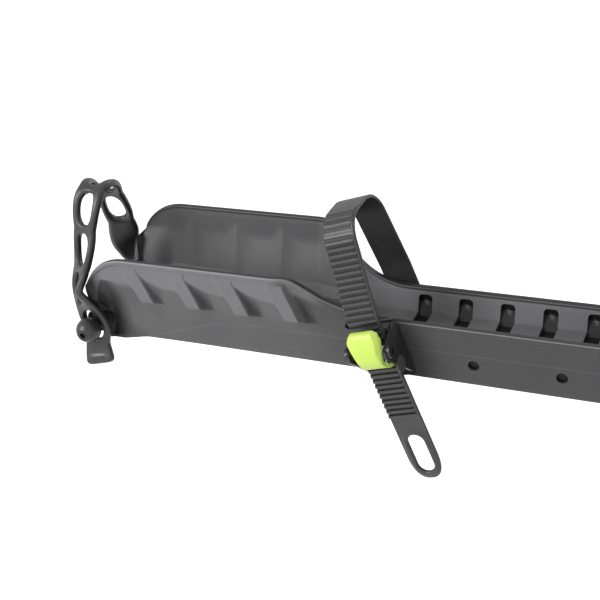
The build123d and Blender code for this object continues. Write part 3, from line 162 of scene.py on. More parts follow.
NYLON_DARK = (0.018, 0.018, 0.019)
NYLON_LIGHT = (0.032, 0.032, 0.034)
nylon = skin_material("Black nylon", NYLON_DARK, NYLON_LIGHT, mottle=60.0, grain=1800.0, speckle=0.6,
                      roughness=0.5, spread=0.15, depth=0.25, reach=0.00015)
paint(nylon, "shank_cap", "spine_caps", "mast_cap", "mast_bushes", "hinge_bush", "tilt_knob", "mast_knob",
      "jaw_knob", "collar_knob", "buckle_bed_left", "buckle_bed_right", "clamp_collar", "upper_jaw")


# Bolts, nuts, washers, spacers, guide bars and springs
# Zinc plated steel, turned or cold headed, with a soft brushed sheen and a faint
# grey bloom.

ZINC_DARK = (0.42, 0.43, 0.44)
ZINC_LIGHT = (0.62, 0.62, 0.63)
zinc = skin_material("Zinc plate", ZINC_DARK, ZINC_LIGHT, mottle=90.0, grain=2500.0, speckle=0.4,
                     roughness=0.34, spread=0.25, depth=0.15, reach=0.0001, metallic=1.0)
paint(zinc, "hinge_bolts", "hinge_nuts", "tilt_bolt", "tray_bolts", "tray_nuts", "saddle_screws",
      "saddle_nuts", "spine_bolts", "spine_nuts", "mast_pivot_bolt", "rubber_strap_screws",
      "rubber_strap_washers", "side_spacers", "side_screws", "side_nuts", "buckle_spring_left",
      "buckle_spring_right", "guide_bars", "jaw_stud")


# Buckle brackets, buckle pins and ball studs
# The brackets are folded from steel plate, and the pins and the studs are turned, all
# finished in a dark satin coat. The studs are screwed into the tray's near ears.

BRACKET_DARK = (0.016, 0.016, 0.017)
BRACKET_LIGHT = (0.030, 0.030, 0.032)
dark_coat = skin_material("Dark coat", BRACKET_DARK, BRACKET_LIGHT, mottle=50.0, grain=1500.0, speckle=0.4,
                          roughness=0.36, spread=0.2, depth=0.2, reach=0.00015)
paint(dark_coat, "buckle_bracket_left", "buckle_bracket_right", "buckle_pin_left", "buckle_pin_right",
      "ball_stud_left", "ball_stud_right")


# Tray halves
# Two mirrored mouldings of tough charcoal plastic, spark textured outside, that butt at
# the middle: a fluted beam with a deep cradle at its end, and slanted ribs on the cradle.
# Each is one surface of slanted cross sections, bolted through its skirts to the joiner.
# Its colour carries painted shade behind the band, along the beam, in the corners, grooves and holes, and
# painted highlights along the rim, the crease and the grooves' knees.

MM = 0.001
TRAY_DARK = (0.176, 0.176, 0.182)
TRAY_LIGHT = (0.225, 0.225, 0.231)
# The colour of the tray's painted highlights, and the near black of the dark discs painted into its holes as
# shadow
TRAY_HIGHLIGHT = (0.42, 0.42, 0.43)
HOLE_DARK = (0.006, 0.006, 0.006)
END_U = -108.0
END_THICK = 4.0
BULGE_U = -92.0
BULGE = 3.0
TUCK = 9.0
CORNER_RADIUS = 42.0
CRADLE_HEIGHT = 82.4
DIP_START = 57.0
DIP_ANGLE = math.radians(43.5)
DIP_CREST_RADIUS = 21.0
DIP_FOOT_RADIUS = 68.0
DIP_SECTIONS = (22.0, 76.0, 22)
EXTRA_SECTIONS = (END_U + 0.6, END_U + END_THICK - 0.05, -80.0, -77.0)
CREASE_LOW_U = -75.0
CREASE_LEVEL_U = 5.0
CREASE_LOW = 1.5
CREASE_HEIGHT = 24.4
BEAM_HEIGHT = 45.7
FLOOR_HEIGHT = 28.4
FLOOR_HALF_WIDTH = 15.5
WEB_UNDER = 24.0
SKIRT_HALF = 25.0
SKIRT_WALL = 3.5
SKIRT_EDGE = (0.7, 0.25)
TOP_WALL = 4.4
CRADLE_WALL = 3.2
CRADLE_FILLET = 4.0
BAND_STEP = 0.6
CHANNEL_DROP = 3.8
BAND_HEIGHT = 62.4
BAND_SWEEP = 11.0
FLARE = 19.5
BEAM_FLARE_SHARE = 0.07
FLARE_POWER = 1.6
FLARE_FADE = 74.0
LIP = 2.0
BEAD = 1.0
BEAD_DEPTH = 4.2
RIB_COUNT = 4
RIB_PITCH = 40.0
RIB_FIRST_U = -63.5
RETURN_BAND = 8.0
RIB_SLANT = 9.0
RIB_TOP = 74.0
RIB_BOTTOM = 45.5
RIB_HALF_TOP = 6.7
RIB_HALF_BOTTOM = 5.4
RIB_FLANK_SLOPE = 2.6
RIB_FOOT_SLOPE = 1.5
RIB_PROUD = 0.3
RIB_MARGIN = 12.0
RIB_BLEND = 1.2
RIB_EDGES = (-9.6, -8.2, -7.3, -6.7, -6.1, -5.4, -4.6, -2.0, 2.0, 4.6, 5.4, 6.1, 6.7, 7.3, 8.2, 9.6, 11.5,
             14.0, 17.0, 21.0, 25.5)
SLANT_RISE = (-82.0, -74.5)
SLANT_FALL = (68.0, 112.0)
GROOVE_FIRST_U = 144.0
GROOVE_PITCH = 30.5
GROOVE_HALF = 5.25
GROOVE_CORNER = 3.0
GROOVE_TOP = 40.9
GROOVE_KNEE = 34.5
GROOVE_WALL = 21.7
GROOVE_DROP = 3.0
GROOVE_END_MARGIN = 12.0
BALL_U = -109.0
BALL_HEIGHT = 18.4
EAR_RADIUS = 9.5
SIDE_HOLE_FIRST_U = 131.0
SIDE_HOLE_PITCH = 61.0
SIDE_HOLE_HEIGHT = 16.5
SIDE_HOLE_RADIUS = 4.1
SIDE_HOLE_WINDOW = 7.5
SIDE_HOLE_DEPTH = 2.4
FLANGE_START_U = -97.0
FLANGE_HEIGHTS = (0.0, 34.0, 56.0, 90.0)
FLANGE_HALVES = (32.0, 38.5, 47.5, 47.5)
NOTCH_HALF = 24.0
NOTCH_HEIGHT = 40.0
NOTCH_RISE = 42.0
NOTCH_SPREAD = 9.0
EAR_ROOT = 22.0
EAR_FACE = 38.0
FLANGE_HOLE_Y = 32.5
FLANGE_HOLE_HEIGHT = 31.0
FLANGE_HOLE_RADIUS = 4.0
SPARE_HOLE_U = 102.0
SPARE_HOLE_HEIGHT = 38.0
SPARE_HOLE_RADIUS = 3.5
SPARE_HOLE_AXIS = (0.0, -1.0, -0.1)
SPARE_HOLE_SINK = 0.6
SPARE_HOLE_LENGTH = 0.8
FLANGE_SINK = 0.5
FLANGE_BOSS_RIM = 1.3
FLANGE_BOSS_LENGTH = 1.0
FLANGE_HOLE_LENGTH = 1.1
ROUND_COUNT = 48
LEAST_BAND = 3.0
SLIDE_ROUNDS = 4
# Where the wall behind the band's plane gets painted shade, and where the flange's corner gets painted shadow
WALL_SHADE_DEPTHS = (-1.6, -0.3)
CORNER_SHADOW_U = (-89.0, -100.0)
CORNER_SHADOW_HEIGHT = (CRADLE_HEIGHT - 8.0, CRADLE_HEIGHT - 24.0)
# Rows of a section's side, counted from under the web's middle
CREASE_ROW = 23
RIM_ROW = 70
INNER_RIM_ROW = 75
KNEE_ROW = 96
OUTSIDE_ROWS = (7, 66)
CHANNEL_ROW = 78
CHANNEL_UPPER_COUNT = 14
# Painted shade, 1 for none and lower for darker, and painted highlights, 0 for none
WALL_SHADE = 0.58
BEAM_SHADE = 0.36
INNER_SHADE = 0.7
RIM_TOP_SHADE = 0.16
RIM_HIGHLIGHT = 0.5
INNER_RIM_HIGHLIGHT = 0.45
CREASE_HIGHLIGHT = 0.15
KNEE_HIGHLIGHT = 0.3
BOSS_SHADE = 0.5
FLANGE_CORNER_SHADE = 0.05
GROOVE_SHADE = 0.05
HOLE_SHADE = 0.02
EAR_SHADE = 0.12


def paint_shade_and_highlight(material, highlight_colour):
    """Darkens a material by its mesh's painted shade attribute, 1 for none and lower for darker, and
    lightens it towards a colour by the mesh's painted highlight attribute, a painted highlight."""
    tree = material.node_tree
    finish, highlight_attribute = (add_node(tree, "ShaderNodeAttribute", attribute_name=name)
                      for name in ("finish", "burnish"))
    plain = add_node(tree, "ShaderNodeMix", ((0, 1.0), (6, tree.nodes["Group"].outputs["Color"]),
                                             (7, finish.outputs["Color"])),
                     data_type="RGBA", blend_type="MULTIPLY")
    tone = add_node(tree, "ShaderNodeMix", ((0, highlight_attribute.outputs["Fac"]), (6, plain.outputs[2]),
                                            (7, (*highlight_colour, 1.0))), data_type="RGBA")
    tree.links.new(tone.outputs[2], tree.nodes["Principled BSDF"].inputs["Base Color"])


tray_skin = skin_material("Tray plastic", TRAY_DARK, TRAY_LIGHT, mottle=30.0, grain=1300.0, speckle=0.65,
                          roughness=0.5, spread=0.12, depth=0.35, reach=0.00025, gloss=0.25)
paint_shade_and_highlight(tray_skin, TRAY_HIGHLIGHT)
hole_dark = skin_material("Hole shadow", HOLE_DARK, HOLE_DARK, mottle=30.0, grain=900.0, speckle=0.5,
                          roughness=0.9, spread=0.05, depth=0.1, reach=0.0001, gloss=0.0)
tray_low, tray_high = (np.array(corner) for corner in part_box("tray_left"))
CRADLE_PLACE = np.array((tray_low[0] + (EAR_RADIUS - BALL_U) * MM, (tray_low[1] + tray_high[1]) / 2,
                         tray_low[2]))
TRAY_LENGTH_U = (tray_high[0] - CRADLE_PLACE[0]) / MM


def share_of(value, start, end):
    """How far a value lies from start, 0, to end, 1, held to that span."""
    return np.clip((value - start) / (end - start), 0.0, 1.0)


def smooth_step(share):
    """A share that leaves 0 and meets 1 without a kink: 3 s squared less 2 s cubed."""
    return share * share * (3 - 2 * share)


def rim_height(u):
    """The rim's height: level over the cradle, a quarter circle down at its closed end, and a
    slope between two tangent arcs down to the beam."""
    crest_u = DIP_START + DIP_CREST_RADIUS * math.sin(DIP_ANGLE)
    crest_h = CRADLE_HEIGHT - DIP_CREST_RADIUS * (1 - math.cos(DIP_ANGLE))
    foot_h = BEAM_HEIGHT + DIP_FOOT_RADIUS * (1 - math.cos(DIP_ANGLE))
    foot_u = crest_u + (crest_h - foot_h) / math.tan(DIP_ANGLE)
    beam_u = foot_u + DIP_FOOT_RADIUS * math.sin(DIP_ANGLE)
    middle = END_U + CORNER_RADIUS
    corner = CRADLE_HEIGHT - CORNER_RADIUS + np.sqrt(np.maximum(CORNER_RADIUS ** 2 - (u - middle) ** 2, 0))
    crest = np.sqrt(np.maximum(DIP_CREST_RADIUS ** 2 - (u - DIP_START) ** 2, 0))
    crest = CRADLE_HEIGHT - DIP_CREST_RADIUS + crest
    slope = crest_h - (u - crest_u) * math.tan(DIP_ANGLE)
    foot = BEAM_HEIGHT + DIP_FOOT_RADIUS - np.sqrt(np.maximum(DIP_FOOT_RADIUS ** 2 - (u - beam_u) ** 2, 0))
    return np.select([u < middle, u < DIP_START, u < crest_u, u < foot_u, u < beam_u],
                     [corner, CRADLE_HEIGHT, crest, slope, foot], BEAM_HEIGHT)


def crease_height(u):
    """The crease's height: level along the beam, and falling to the bottom edge under the cradle."""
    fall = share_of(u, CREASE_LOW_U, CREASE_LEVEL_U)
    return CREASE_LOW + (CREASE_HEIGHT - CREASE_LOW) * (0.5 * fall + 0.5 * smooth_step(fall))


def flare_share(u):
    """How much of the cradle's flare the wall keeps: 1 over the cradle, fading along the dip."""
    left = 1 - share_of(u, DIP_START, DIP_START + FLARE_FADE)
    return BEAM_FLARE_SHARE + (1 - BEAM_FLARE_SHARE) * left ** FLARE_POWER


def band_foot(station):
    """Height of the band's lower edge at a slanted station: level, but swept up in a curve just
    past each rib, back down under the next one, and down a smaller circle at the closed end."""
    past = station - (RIB_FIRST_U + RIB_HALF_TOP)
    gap = RIB_PITCH - 2 * RIB_HALF_TOP
    turn = np.mod(past, RIB_PITCH)
    open_share = np.clip(turn / gap, 0, 1)
    under = smooth_step(np.clip((turn - gap) / (2 * RIB_HALF_TOP), 0, 1))
    swept = np.where(turn < gap, (1 - open_share) ** 3, under)
    inside = (past > -2 * RIB_HALF_TOP) & (past < RIB_PITCH * (RIB_COUNT - 1) + gap)
    level = BAND_HEIGHT + BAND_SWEEP * np.where(inside, swept, 0.0)
    beyond = np.minimum(station - END_U - CORNER_RADIUS, 0)
    turned = np.sqrt(np.maximum((CORNER_RADIUS - RETURN_BAND) ** 2 - beyond ** 2, 0))
    return np.minimum(level, CRADLE_HEIGHT - CORNER_RADIUS + turned)


def wall_half(u, height, band):
    """Half width of the outside without ribs: upright to the crease, then leaning out to the
    band's foot, then nearly upright; the closed end bulges below and is tucked in above."""
    crease = crease_height(u)
    closing = share_of(u, CREASE_LOW_U, BULGE_U)
    share = flare_share(u)
    base = SKIRT_HALF + 2 * BULGE * closing
    rise = share_of(height, crease, band)
    lip = LIP * share / (CRADLE_HEIGHT - BAND_HEIGHT)
    band_half = SKIRT_HALF + FLARE * share + lip * (height - BAND_HEIGHT)
    foot_half = SKIRT_HALF + FLARE * share + lip * (band - BAND_HEIGHT)
    leaning = base + (foot_half - base) * rise - TUCK * smooth_step(closing) * 4 * rise * (1 - rise)
    return np.where(height < band, leaning, band_half)


def rib_half(station, height):
    """Half width of the ribs' own faces: the band's plane between two flanks and above a foot
    that slope in, and far inside elsewhere."""
    nearest = np.clip(np.round((station - RIB_FIRST_U) / RIB_PITCH), 0, RIB_COUNT - 1)
    aside = np.abs(station - RIB_FIRST_U - RIB_PITCH * nearest)
    fall = share_of(height, RIB_TOP, RIB_BOTTOM)
    wide = RIB_HALF_TOP + (RIB_HALF_BOTTOM - RIB_HALF_TOP) * fall
    front = SKIRT_HALF + FLARE + LIP * (height - BAND_HEIGHT) / (CRADLE_HEIGHT - BAND_HEIGHT) + RIB_PROUD
    flank = front - RIB_FLANK_SLOPE * np.maximum(aside - wide, 0)
    foot = front - RIB_FOOT_SLOPE * np.maximum(RIB_BOTTOM - height, 0)
    return np.minimum(np.minimum(flank, foot), front) - 100 * (height > RIB_TOP + 2)


def soft_maximum(a, b, blend):
    """The larger of two half widths, with a rounded join as wide as the blend."""
    return (a + b + np.sqrt((a - b) ** 2 + blend ** 2)) / 2


def outer_half(u, station, height):
    """Half width of the outside: the wall, its ribs, and the flange that the closed end turns
    out to along a quarter circle."""
    wall = wall_half(u, height, band_foot(station))
    last_rib = RIB_FIRST_U + RIB_PITCH * (RIB_COUNT - 1)
    ribbed = (station > RIB_FIRST_U - RIB_MARGIN) & (station < last_rib + RIB_MARGIN)
    wall = np.where(ribbed, soft_maximum(wall, rib_half(station, height), RIB_BLEND), wall)
    turn = share_of(u, FLANGE_START_U, END_U + END_THICK)
    growth = 1 - np.sqrt(1 - turn * turn)
    flange = np.interp(height, FLANGE_HEIGHTS, FLANGE_HALVES)
    return wall + np.maximum(flange - wall, 0) * growth


def pit_holes(u, height, half):
    """Warps the wall's grid around each bolt hole from squares to circles, and sinks the disc
    inside the hole's circle to the hole's depth."""
    along = u - SIDE_HOLE_FIRST_U - SIDE_HOLE_PITCH * np.round((u - SIDE_HOLE_FIRST_U) / SIDE_HOLE_PITCH)
    up = height - SIDE_HOLE_HEIGHT
    square = np.maximum(np.abs(along), np.abs(up))
    near = (square < SIDE_HOLE_WINDOW) & (u > SIDE_HOLE_FIRST_U - SIDE_HOLE_WINDOW)
    stretch = square / np.maximum(np.hypot(along, up), 1e-6)
    outside = share_of(square, SIDE_HOLE_RADIUS, SIDE_HOLE_WINDOW)
    scale = np.where(near, stretch + (1 - stretch) * outside, 1.0)
    sunk = near & (square < SIDE_HOLE_RADIUS - 0.05)
    return u + along * (scale - 1), half - SIDE_HOLE_DEPTH * sunk, height + up * (scale - 1)


def groove_share(u):
    """Whether each place along the beam is in a groove, and how far that groove's rounded top
    lies below its full height there."""
    along = u - GROOVE_FIRST_U
    count = np.floor((TRAY_LENGTH_U - GROOVE_END_MARGIN - GROOVE_FIRST_U) / GROOVE_PITCH)
    nearest = np.clip(np.round(along / GROOVE_PITCH), 0, count)
    aside = np.abs(along - GROOVE_PITCH * nearest)
    inside = aside < GROOVE_HALF - 0.02
    corner = np.clip(aside - (GROOVE_HALF - GROOVE_CORNER), 0, GROOVE_CORNER)
    return inside, GROOVE_CORNER - np.sqrt(GROOVE_CORNER ** 2 - corner ** 2)


def tray_stations():
    """Places of the cross sections: close together at the closed end, at the flanks of the ribs,
    down the dip, and at the edges of the grooves and the bolt holes."""
    end = END_U + CORNER_RADIUS * (1 - np.sin(np.linspace(math.pi / 2, 0, 17)))
    turn = FLANGE_START_U - (FLANGE_START_U - END_U - END_THICK) * np.sin(np.linspace(0, math.pi / 2, 8))
    ribs = (RIB_FIRST_U + RIB_PITCH * np.arange(RIB_COUNT)[:, None] + np.array(RIB_EDGES)).ravel()
    dip = DIP_START + np.linspace(*DIP_SECTIONS)
    grooves = np.arange(GROOVE_FIRST_U, TRAY_LENGTH_U + GROOVE_HALF, GROOVE_PITCH)[:, None]
    bunched = np.array((0.5, 0.72, 0.86, 0.94, 0.985, 1.0))
    across = GROOVE_HALF * np.concatenate((-bunched[::-1], (0.0,), bunched))
    holes = np.arange(SIDE_HOLE_FIRST_U, TRAY_LENGTH_U, SIDE_HOLE_PITCH)[:, None]
    ring = np.array((SIDE_HOLE_WINDOW, SIDE_HOLE_RADIUS, SIDE_HOLE_RADIUS - 0.1, 3.0, 1.5))
    ring = np.concatenate((-ring, (0.0,), ring[::-1]))
    places = np.concatenate((end, turn, EXTRA_SECTIONS, ribs, dip, (grooves + across).ravel(),
                             (holes + ring).ravel(), (TRAY_LENGTH_U,)))
    places = np.unique(np.round(places, 3))
    places = places[(places >= END_U) & (places <= TRAY_LENGTH_U)]
    return places[np.append(True, np.diff(places) > 0.04)]


def is_closed(column):
    """Whether a cross section lies in the wall of the closed end."""
    return column < END_U + END_THICK - 0.01


def notch_half(height):
    """Half width of the shallow notch in the closed end, wider towards its top."""
    return NOTCH_HALF + NOTCH_SPREAD * (height - NOTCH_HEIGHT) / NOTCH_RISE


def under_rows(column, slant):
    """Rows from under the web's middle, down the skirt's inside to its lower edge."""
    skirt = SKIRT_HALF - SKIRT_WALL + 0 * column
    half = skirt * np.array((0, 0.5, 1, 1, 1, 1, 1)) + np.array((0, 0, -1.0, 0, 0, 0, 0.5))
    height = np.array((WEB_UNDER, WEB_UNDER, WEB_UNDER, WEB_UNDER - 1.0, 10.0, 0.4, 0.0)) + 0 * skirt
    height = np.where(is_closed(column), np.minimum(height, 0.02 * np.arange(7)[::-1]), height)
    return column + RIB_SLANT * slant + 0 * half, half, height


def outside_rows(column, slant):
    """Rows up the skirt and the wall to under the bead. Each point slides along with the ribs'
    slant as far as its height asks, found in a few rounds, for the height follows the place."""
    low = np.array((0.0, 0.5, 1.2, 5.0, 9.0, 12.4, 12.5, 13.5, 15.0, 16.5, 18.0, 19.5, 20.5, 20.6, 22.4,
                    23.9, 24.4))
    lean = np.linspace(0, 1, 35)[1:]
    band = np.linspace(0, 1, 9)[1:]
    u = column + np.zeros(low.size + lean.size + band.size)
    for step in range(SLIDE_ROUNDS):
        crease = crease_height(u)
        rim = rim_height(u) - BEAD_DEPTH
        foot = np.minimum(band_foot(column), rim - LEAST_BAND)
        under, middle, over = np.split(np.arange(u.shape[1]), (low.size, low.size + lean.size))
        height = np.concatenate((crease[:, under] * low / CREASE_HEIGHT,
                                 crease[:, middle] + (foot - crease)[:, middle] * lean,
                                 foot[:, over] + (rim - foot)[:, over] * band), axis=1)
        u = column + RIB_SLANT * slant * share_of(height, RIB_TOP, RIB_BOTTOM)
    half = outer_half(u, column + 0 * u, height)
    half[:, :2] -= SKIRT_EDGE
    return pit_holes(u, height, half)


def rim_rows(column, wall, rim_half):
    """Rows round the bead and over the rim's edge. In the closed end they drop to the notch."""
    bead = BEAD * share_of(flare_share(column), BEAM_FLARE_SHARE, 0.5)
    out = np.array((0.3, 0.8, 1.0, 1.0, 1.0, 0.75, 0.1))
    inset = np.array((0.9, 0.35, 0.08, 0.0, 0.0))
    drop = np.array((4.0, 3.5, 2.9, 1.3, 0.85, 0.35, 0.0, 0.0, 0.2, 0.7, 1.6, 3.0))
    half = rim_half + np.concatenate((out * (bead + 0.3) - 0.3, inset - wall), axis=1)
    rim = rim_height(column + 0 * half)
    inner = is_closed(column) & (np.arange(drop.size) >= out.size)
    half = np.where(inner, notch_half(np.maximum(rim, NOTCH_HEIGHT)), half)
    height = np.where(inner, np.maximum(rim - drop, NOTCH_HEIGHT), rim - drop)
    return column + 0 * half, half, height


def channel_rows(column, wall, rim_half):
    """The channel's side and floor: the cradle's wall follows the outside, the beam's slopes to a
    narrow floor and steps out into each groove, and the closed end keeps a shallow notch."""
    share = flare_share(column)
    grooved, corner = groove_share(column)
    start = rim_height(column) - CHANNEL_DROP
    groove_top = np.minimum(GROOVE_TOP - corner, start - 0.6)
    upper = np.linspace(0, 1, CHANNEL_UPPER_COUNT)
    height = start + (groove_top - start) * upper
    step = groove_top - np.where(grooved, 0.02, 0.4)
    middle = step + (GROOVE_KNEE - step) * np.linspace(0, 1, 5)
    floor = FLOOR_HEIGHT - GROOVE_DROP * grooved
    lower = GROOVE_KNEE + (floor - GROOVE_KNEE) * np.linspace(0, 1, 4)[1:]
    height = np.concatenate((height, middle, lower), axis=1)
    u = column + 0 * height
    rise = (BEAM_HEIGHT - CREASE_HEIGHT) / (BAND_HEIGHT - CREASE_HEIGHT)
    beam_top = SKIRT_HALF + FLARE * share * rise - TOP_WALL
    beam = FLOOR_HALF_WIDTH + (beam_top - FLOOR_HALF_WIDTH) * share_of(height, FLOOR_HEIGHT, BEAM_HEIGHT)
    swept = wall_half(u, height, band_foot(column)) + BAND_STEP
    inside = np.minimum(wall_half(u, height, BAND_HEIGHT), swept)
    cradle = inside - CRADLE_WALL - CRADLE_FILLET * share_of(height, GROOVE_KNEE, FLOOR_HEIGHT)
    half = beam + (cradle - beam) * share
    half = np.minimum(half, rim_half - wall)
    knee = share_of(height, GROOVE_KNEE, FLOOR_HEIGHT - GROOVE_DROP)
    grooved_half = GROOVE_WALL + (FLOOR_HALF_WIDTH - 1 - GROOVE_WALL) * knee
    row = np.arange(height.shape[1])
    half = np.where(grooved & (row >= CHANNEL_UPPER_COUNT), grooved_half, half)
    closed = is_closed(column)
    height = np.where(closed, np.maximum(height, NOTCH_HEIGHT - 0.02 * row), height)
    half = np.where(closed & (height > NOTCH_HEIGHT), np.minimum(half, notch_half(height)), half)
    half = np.where(closed & (height <= NOTCH_HEIGHT), NOTCH_HALF - 0.1 * row, half)
    middle_half = half[:, -1:] * np.array((0.66, 0.33, 0.0))
    middle_height = height[:, -1:] + np.zeros(3)
    return (np.concatenate((u, column + np.zeros(3)), axis=1), np.concatenate((half, middle_half), axis=1),
            np.concatenate((height, middle_height), axis=1))


def tray_half_rows(station):
    """One side of every cross section, in rows from under the web's middle, down and up the skirt,
    up the outside, over the rim and down the channel to the floor's middle."""
    column = station[:, None]
    slant = share_of(column, *SLANT_RISE) * (1 - share_of(column, *SLANT_FALL))
    wall = TOP_WALL + (CRADLE_WALL - TOP_WALL) * flare_share(column)
    rim_half = outer_half(column, column, rim_height(column) - 1.0)
    parts = (under_rows(column, slant), outside_rows(column, slant), rim_rows(column, wall, rim_half),
             channel_rows(column, wall, rim_half))
    return np.stack([np.concatenate(rows, axis=1) for rows in zip(*parts)], axis=-1)


def grid_faces(rows, columns, wrap_rows=False, wrap_columns=False):
    """Quads over a grid of points in row order, with a wrapped side's last line joined to its first."""
    row = np.arange(rows if wrap_rows else rows - 1)[:, None]
    column = np.arange(columns if wrap_columns else columns - 1)[None, :]
    above = (row + 1) % rows
    right = (column + 1) % columns
    corners = (row * columns + column, row * columns + right,
               above * columns + right, above * columns + column)
    return np.stack(np.broadcast_arrays(*corners), axis=-1).reshape(-1, 4)


def capped_faces(rows, columns):
    """Quads round a tube of points in row order, with a flat cap at each end."""
    faces = [list(quad) for quad in grid_faces(rows, columns, wrap_columns=True)]
    faces.append(list(range(columns))[::-1])
    faces.append(list(range((rows - 1) * columns, rows * columns)))
    return faces


def new_object(name, data):
    """Puts a mesh, a camera or a lamp into the scene."""
    item = bpy.data.objects.new(name, data)
    bpy.context.scene.collection.objects.link(item)
    return item


def add_mesh(name, points, faces, material, body, nodes, right=False, sharp=32.0, marks=()):
    """A mesh from points in a cradle's own frame, in millimetres. The right end mirrors the left.
    Faces that meet at more than the sharp angle keep their edge. Marks are named values at the
    points, for a material that reads them."""
    placed = CRADLE_PLACE + np.asarray(points) * MM
    if right:
        placed = placed * np.array((-1.0, 1.0, 1.0))
    turned = [list(face)[::-1] if right else list(face) for face in faces]
    mesh = bpy.data.meshes.new(name)
    mesh.from_pydata(placed.tolist(), [], turned)
    mesh.shade_smooth()
    mesh.set_sharp_from_angle(angle=math.radians(sharp))
    mesh.materials.append(material)
    for mark, values in marks:
        mesh.attributes.new(mark, "FLOAT", "POINT").data.foreach_set("value", values)
    piece = new_object(name, mesh)
    if nodes:
        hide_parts(*nodes)
    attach(piece, body)
    return piece


def tray_painted_shade(station, side):
    """The painted shade at each point of a side: 1, for none, in the plane of the band and the ribs, and
    lower where the wall lies behind it, along the beam, on the rim's top and inside the cradle; near
    black painted shadow in the flange's corner, the grooves and the bolt holes."""
    u, half, height = np.moveaxis(side, -1, 0)
    share = flare_share(u)
    plane = SKIRT_HALF + FLARE * share + LIP * share * (height - BAND_HEIGHT) / (CRADLE_HEIGHT - BAND_HEIGHT)
    smooth = BEAM_SHADE + (WALL_SHADE - BEAM_SHADE) * share
    facing = share_of(half - plane, *WALL_SHADE_DEPTHS) * share_of(share, BEAM_FLARE_SHARE, 0.6)
    outside = smooth + (1 - smooth) * facing
    corner = share_of(u, *CORNER_SHADOW_U) * share_of(height, *CORNER_SHADOW_HEIGHT)
    outside = outside * (1 - corner) + FLANGE_CORNER_SHADE * corner
    outside = np.where((height < CREASE_HEIGHT) & (half < SKIRT_HALF - 2), HOLE_SHADE, outside)
    finish = 1 + (INNER_SHADE - 1) * share
    finish[:, slice(*OUTSIDE_ROWS)] = outside[:, slice(*OUTSIDE_ROWS)]
    finish[:, OUTSIDE_ROWS[1]:RIM_ROW + 2] = outside[:, OUTSIDE_ROWS[1] - 1][:, None]
    finish[:, RIM_ROW + 2:CHANNEL_ROW - 1] = RIM_TOP_SHADE
    deep = np.arange(u.shape[1]) >= CHANNEL_ROW + CHANNEL_UPPER_COUNT
    grooved = groove_share(station[:, None])[0] & deep
    return np.where(grooved, GROOVE_SHADE, finish)


def both_sides(values):
    """Values of one side's rows, followed by the other side's, in the order of the loops."""
    return np.concatenate((values, values[:, -2:0:-1]), axis=1).ravel()


def build_tray():
    """Points, faces and surface marks of one half: each section's two sides joined into a loop,
    loops joined by quads, and a flat cap at each end."""
    station = tray_stations()
    side = tray_half_rows(station)
    other = side[:, -2:0:-1] * np.array((1.0, -1.0, 1.0))
    loops = np.concatenate((side, other), axis=1)
    row = np.arange(side.shape[1])
    # Painted highlights along the rim's outer and inner edges, the crease and the grooves' knees
    burnish = RIM_HIGHLIGHT * ((row == RIM_ROW) | (row == RIM_ROW + 1)) + CREASE_HIGHLIGHT * (row == CREASE_ROW)
    burnish = burnish + INNER_RIM_HIGHLIGHT * (row == INNER_RIM_ROW)
    grooved, corner = groove_share(station[:, None])
    burnish = burnish + KNEE_HIGHLIGHT * (grooved & (corner == 0) & (row == KNEE_ROW))
    marks = (("burnish", both_sides(burnish)), ("finish", both_sides(tray_painted_shade(station, side))))
    return loops.reshape(-1, 3), capped_faces(*loops.shape[:2]), marks


def unit(vectors):
    """Vectors along the last axis, brought to length 1."""
    return vectors / np.linalg.norm(vectors, axis=-1, keepdims=True)


def add_round(name, place, axis, radius, length, material, right, finish=1.0):
    """A plain disc or boss, its round side drawn along an axis from its place, with an even painted shade."""
    axis = unit(np.array(axis))
    side = unit(np.cross(axis, (0.0, 0.0, 1.0)))
    angle = np.linspace(0, 2 * math.pi, ROUND_COUNT + 1)[:-1, None]
    ring = radius * (np.cos(angle) * side + np.sin(angle) * np.cross(axis, side))
    points = np.concatenate((place + ring, place + ring + axis * length))
    marks = (("finish", np.full(len(points), finish)),)
    piece = add_mesh(name, points, capped_faces(2, ROUND_COUNT), material, "carrier", [], right, marks=marks)
    weld(piece)


def weld(piece):
    """Joins the points where a piece's faces meet, and turns every face outward."""
    shell = bmesh.new()
    shell.from_mesh(piece.data)
    bmesh.ops.remove_doubles(shell, verts=shell.verts, dist=0.00001)
    bmesh.ops.dissolve_degenerate(shell, edges=shell.edges, dist=0.000005)
    bmesh.ops.recalc_face_normals(shell, faces=shell.faces)
    shell.to_mesh(piece.data)
    shell.free()


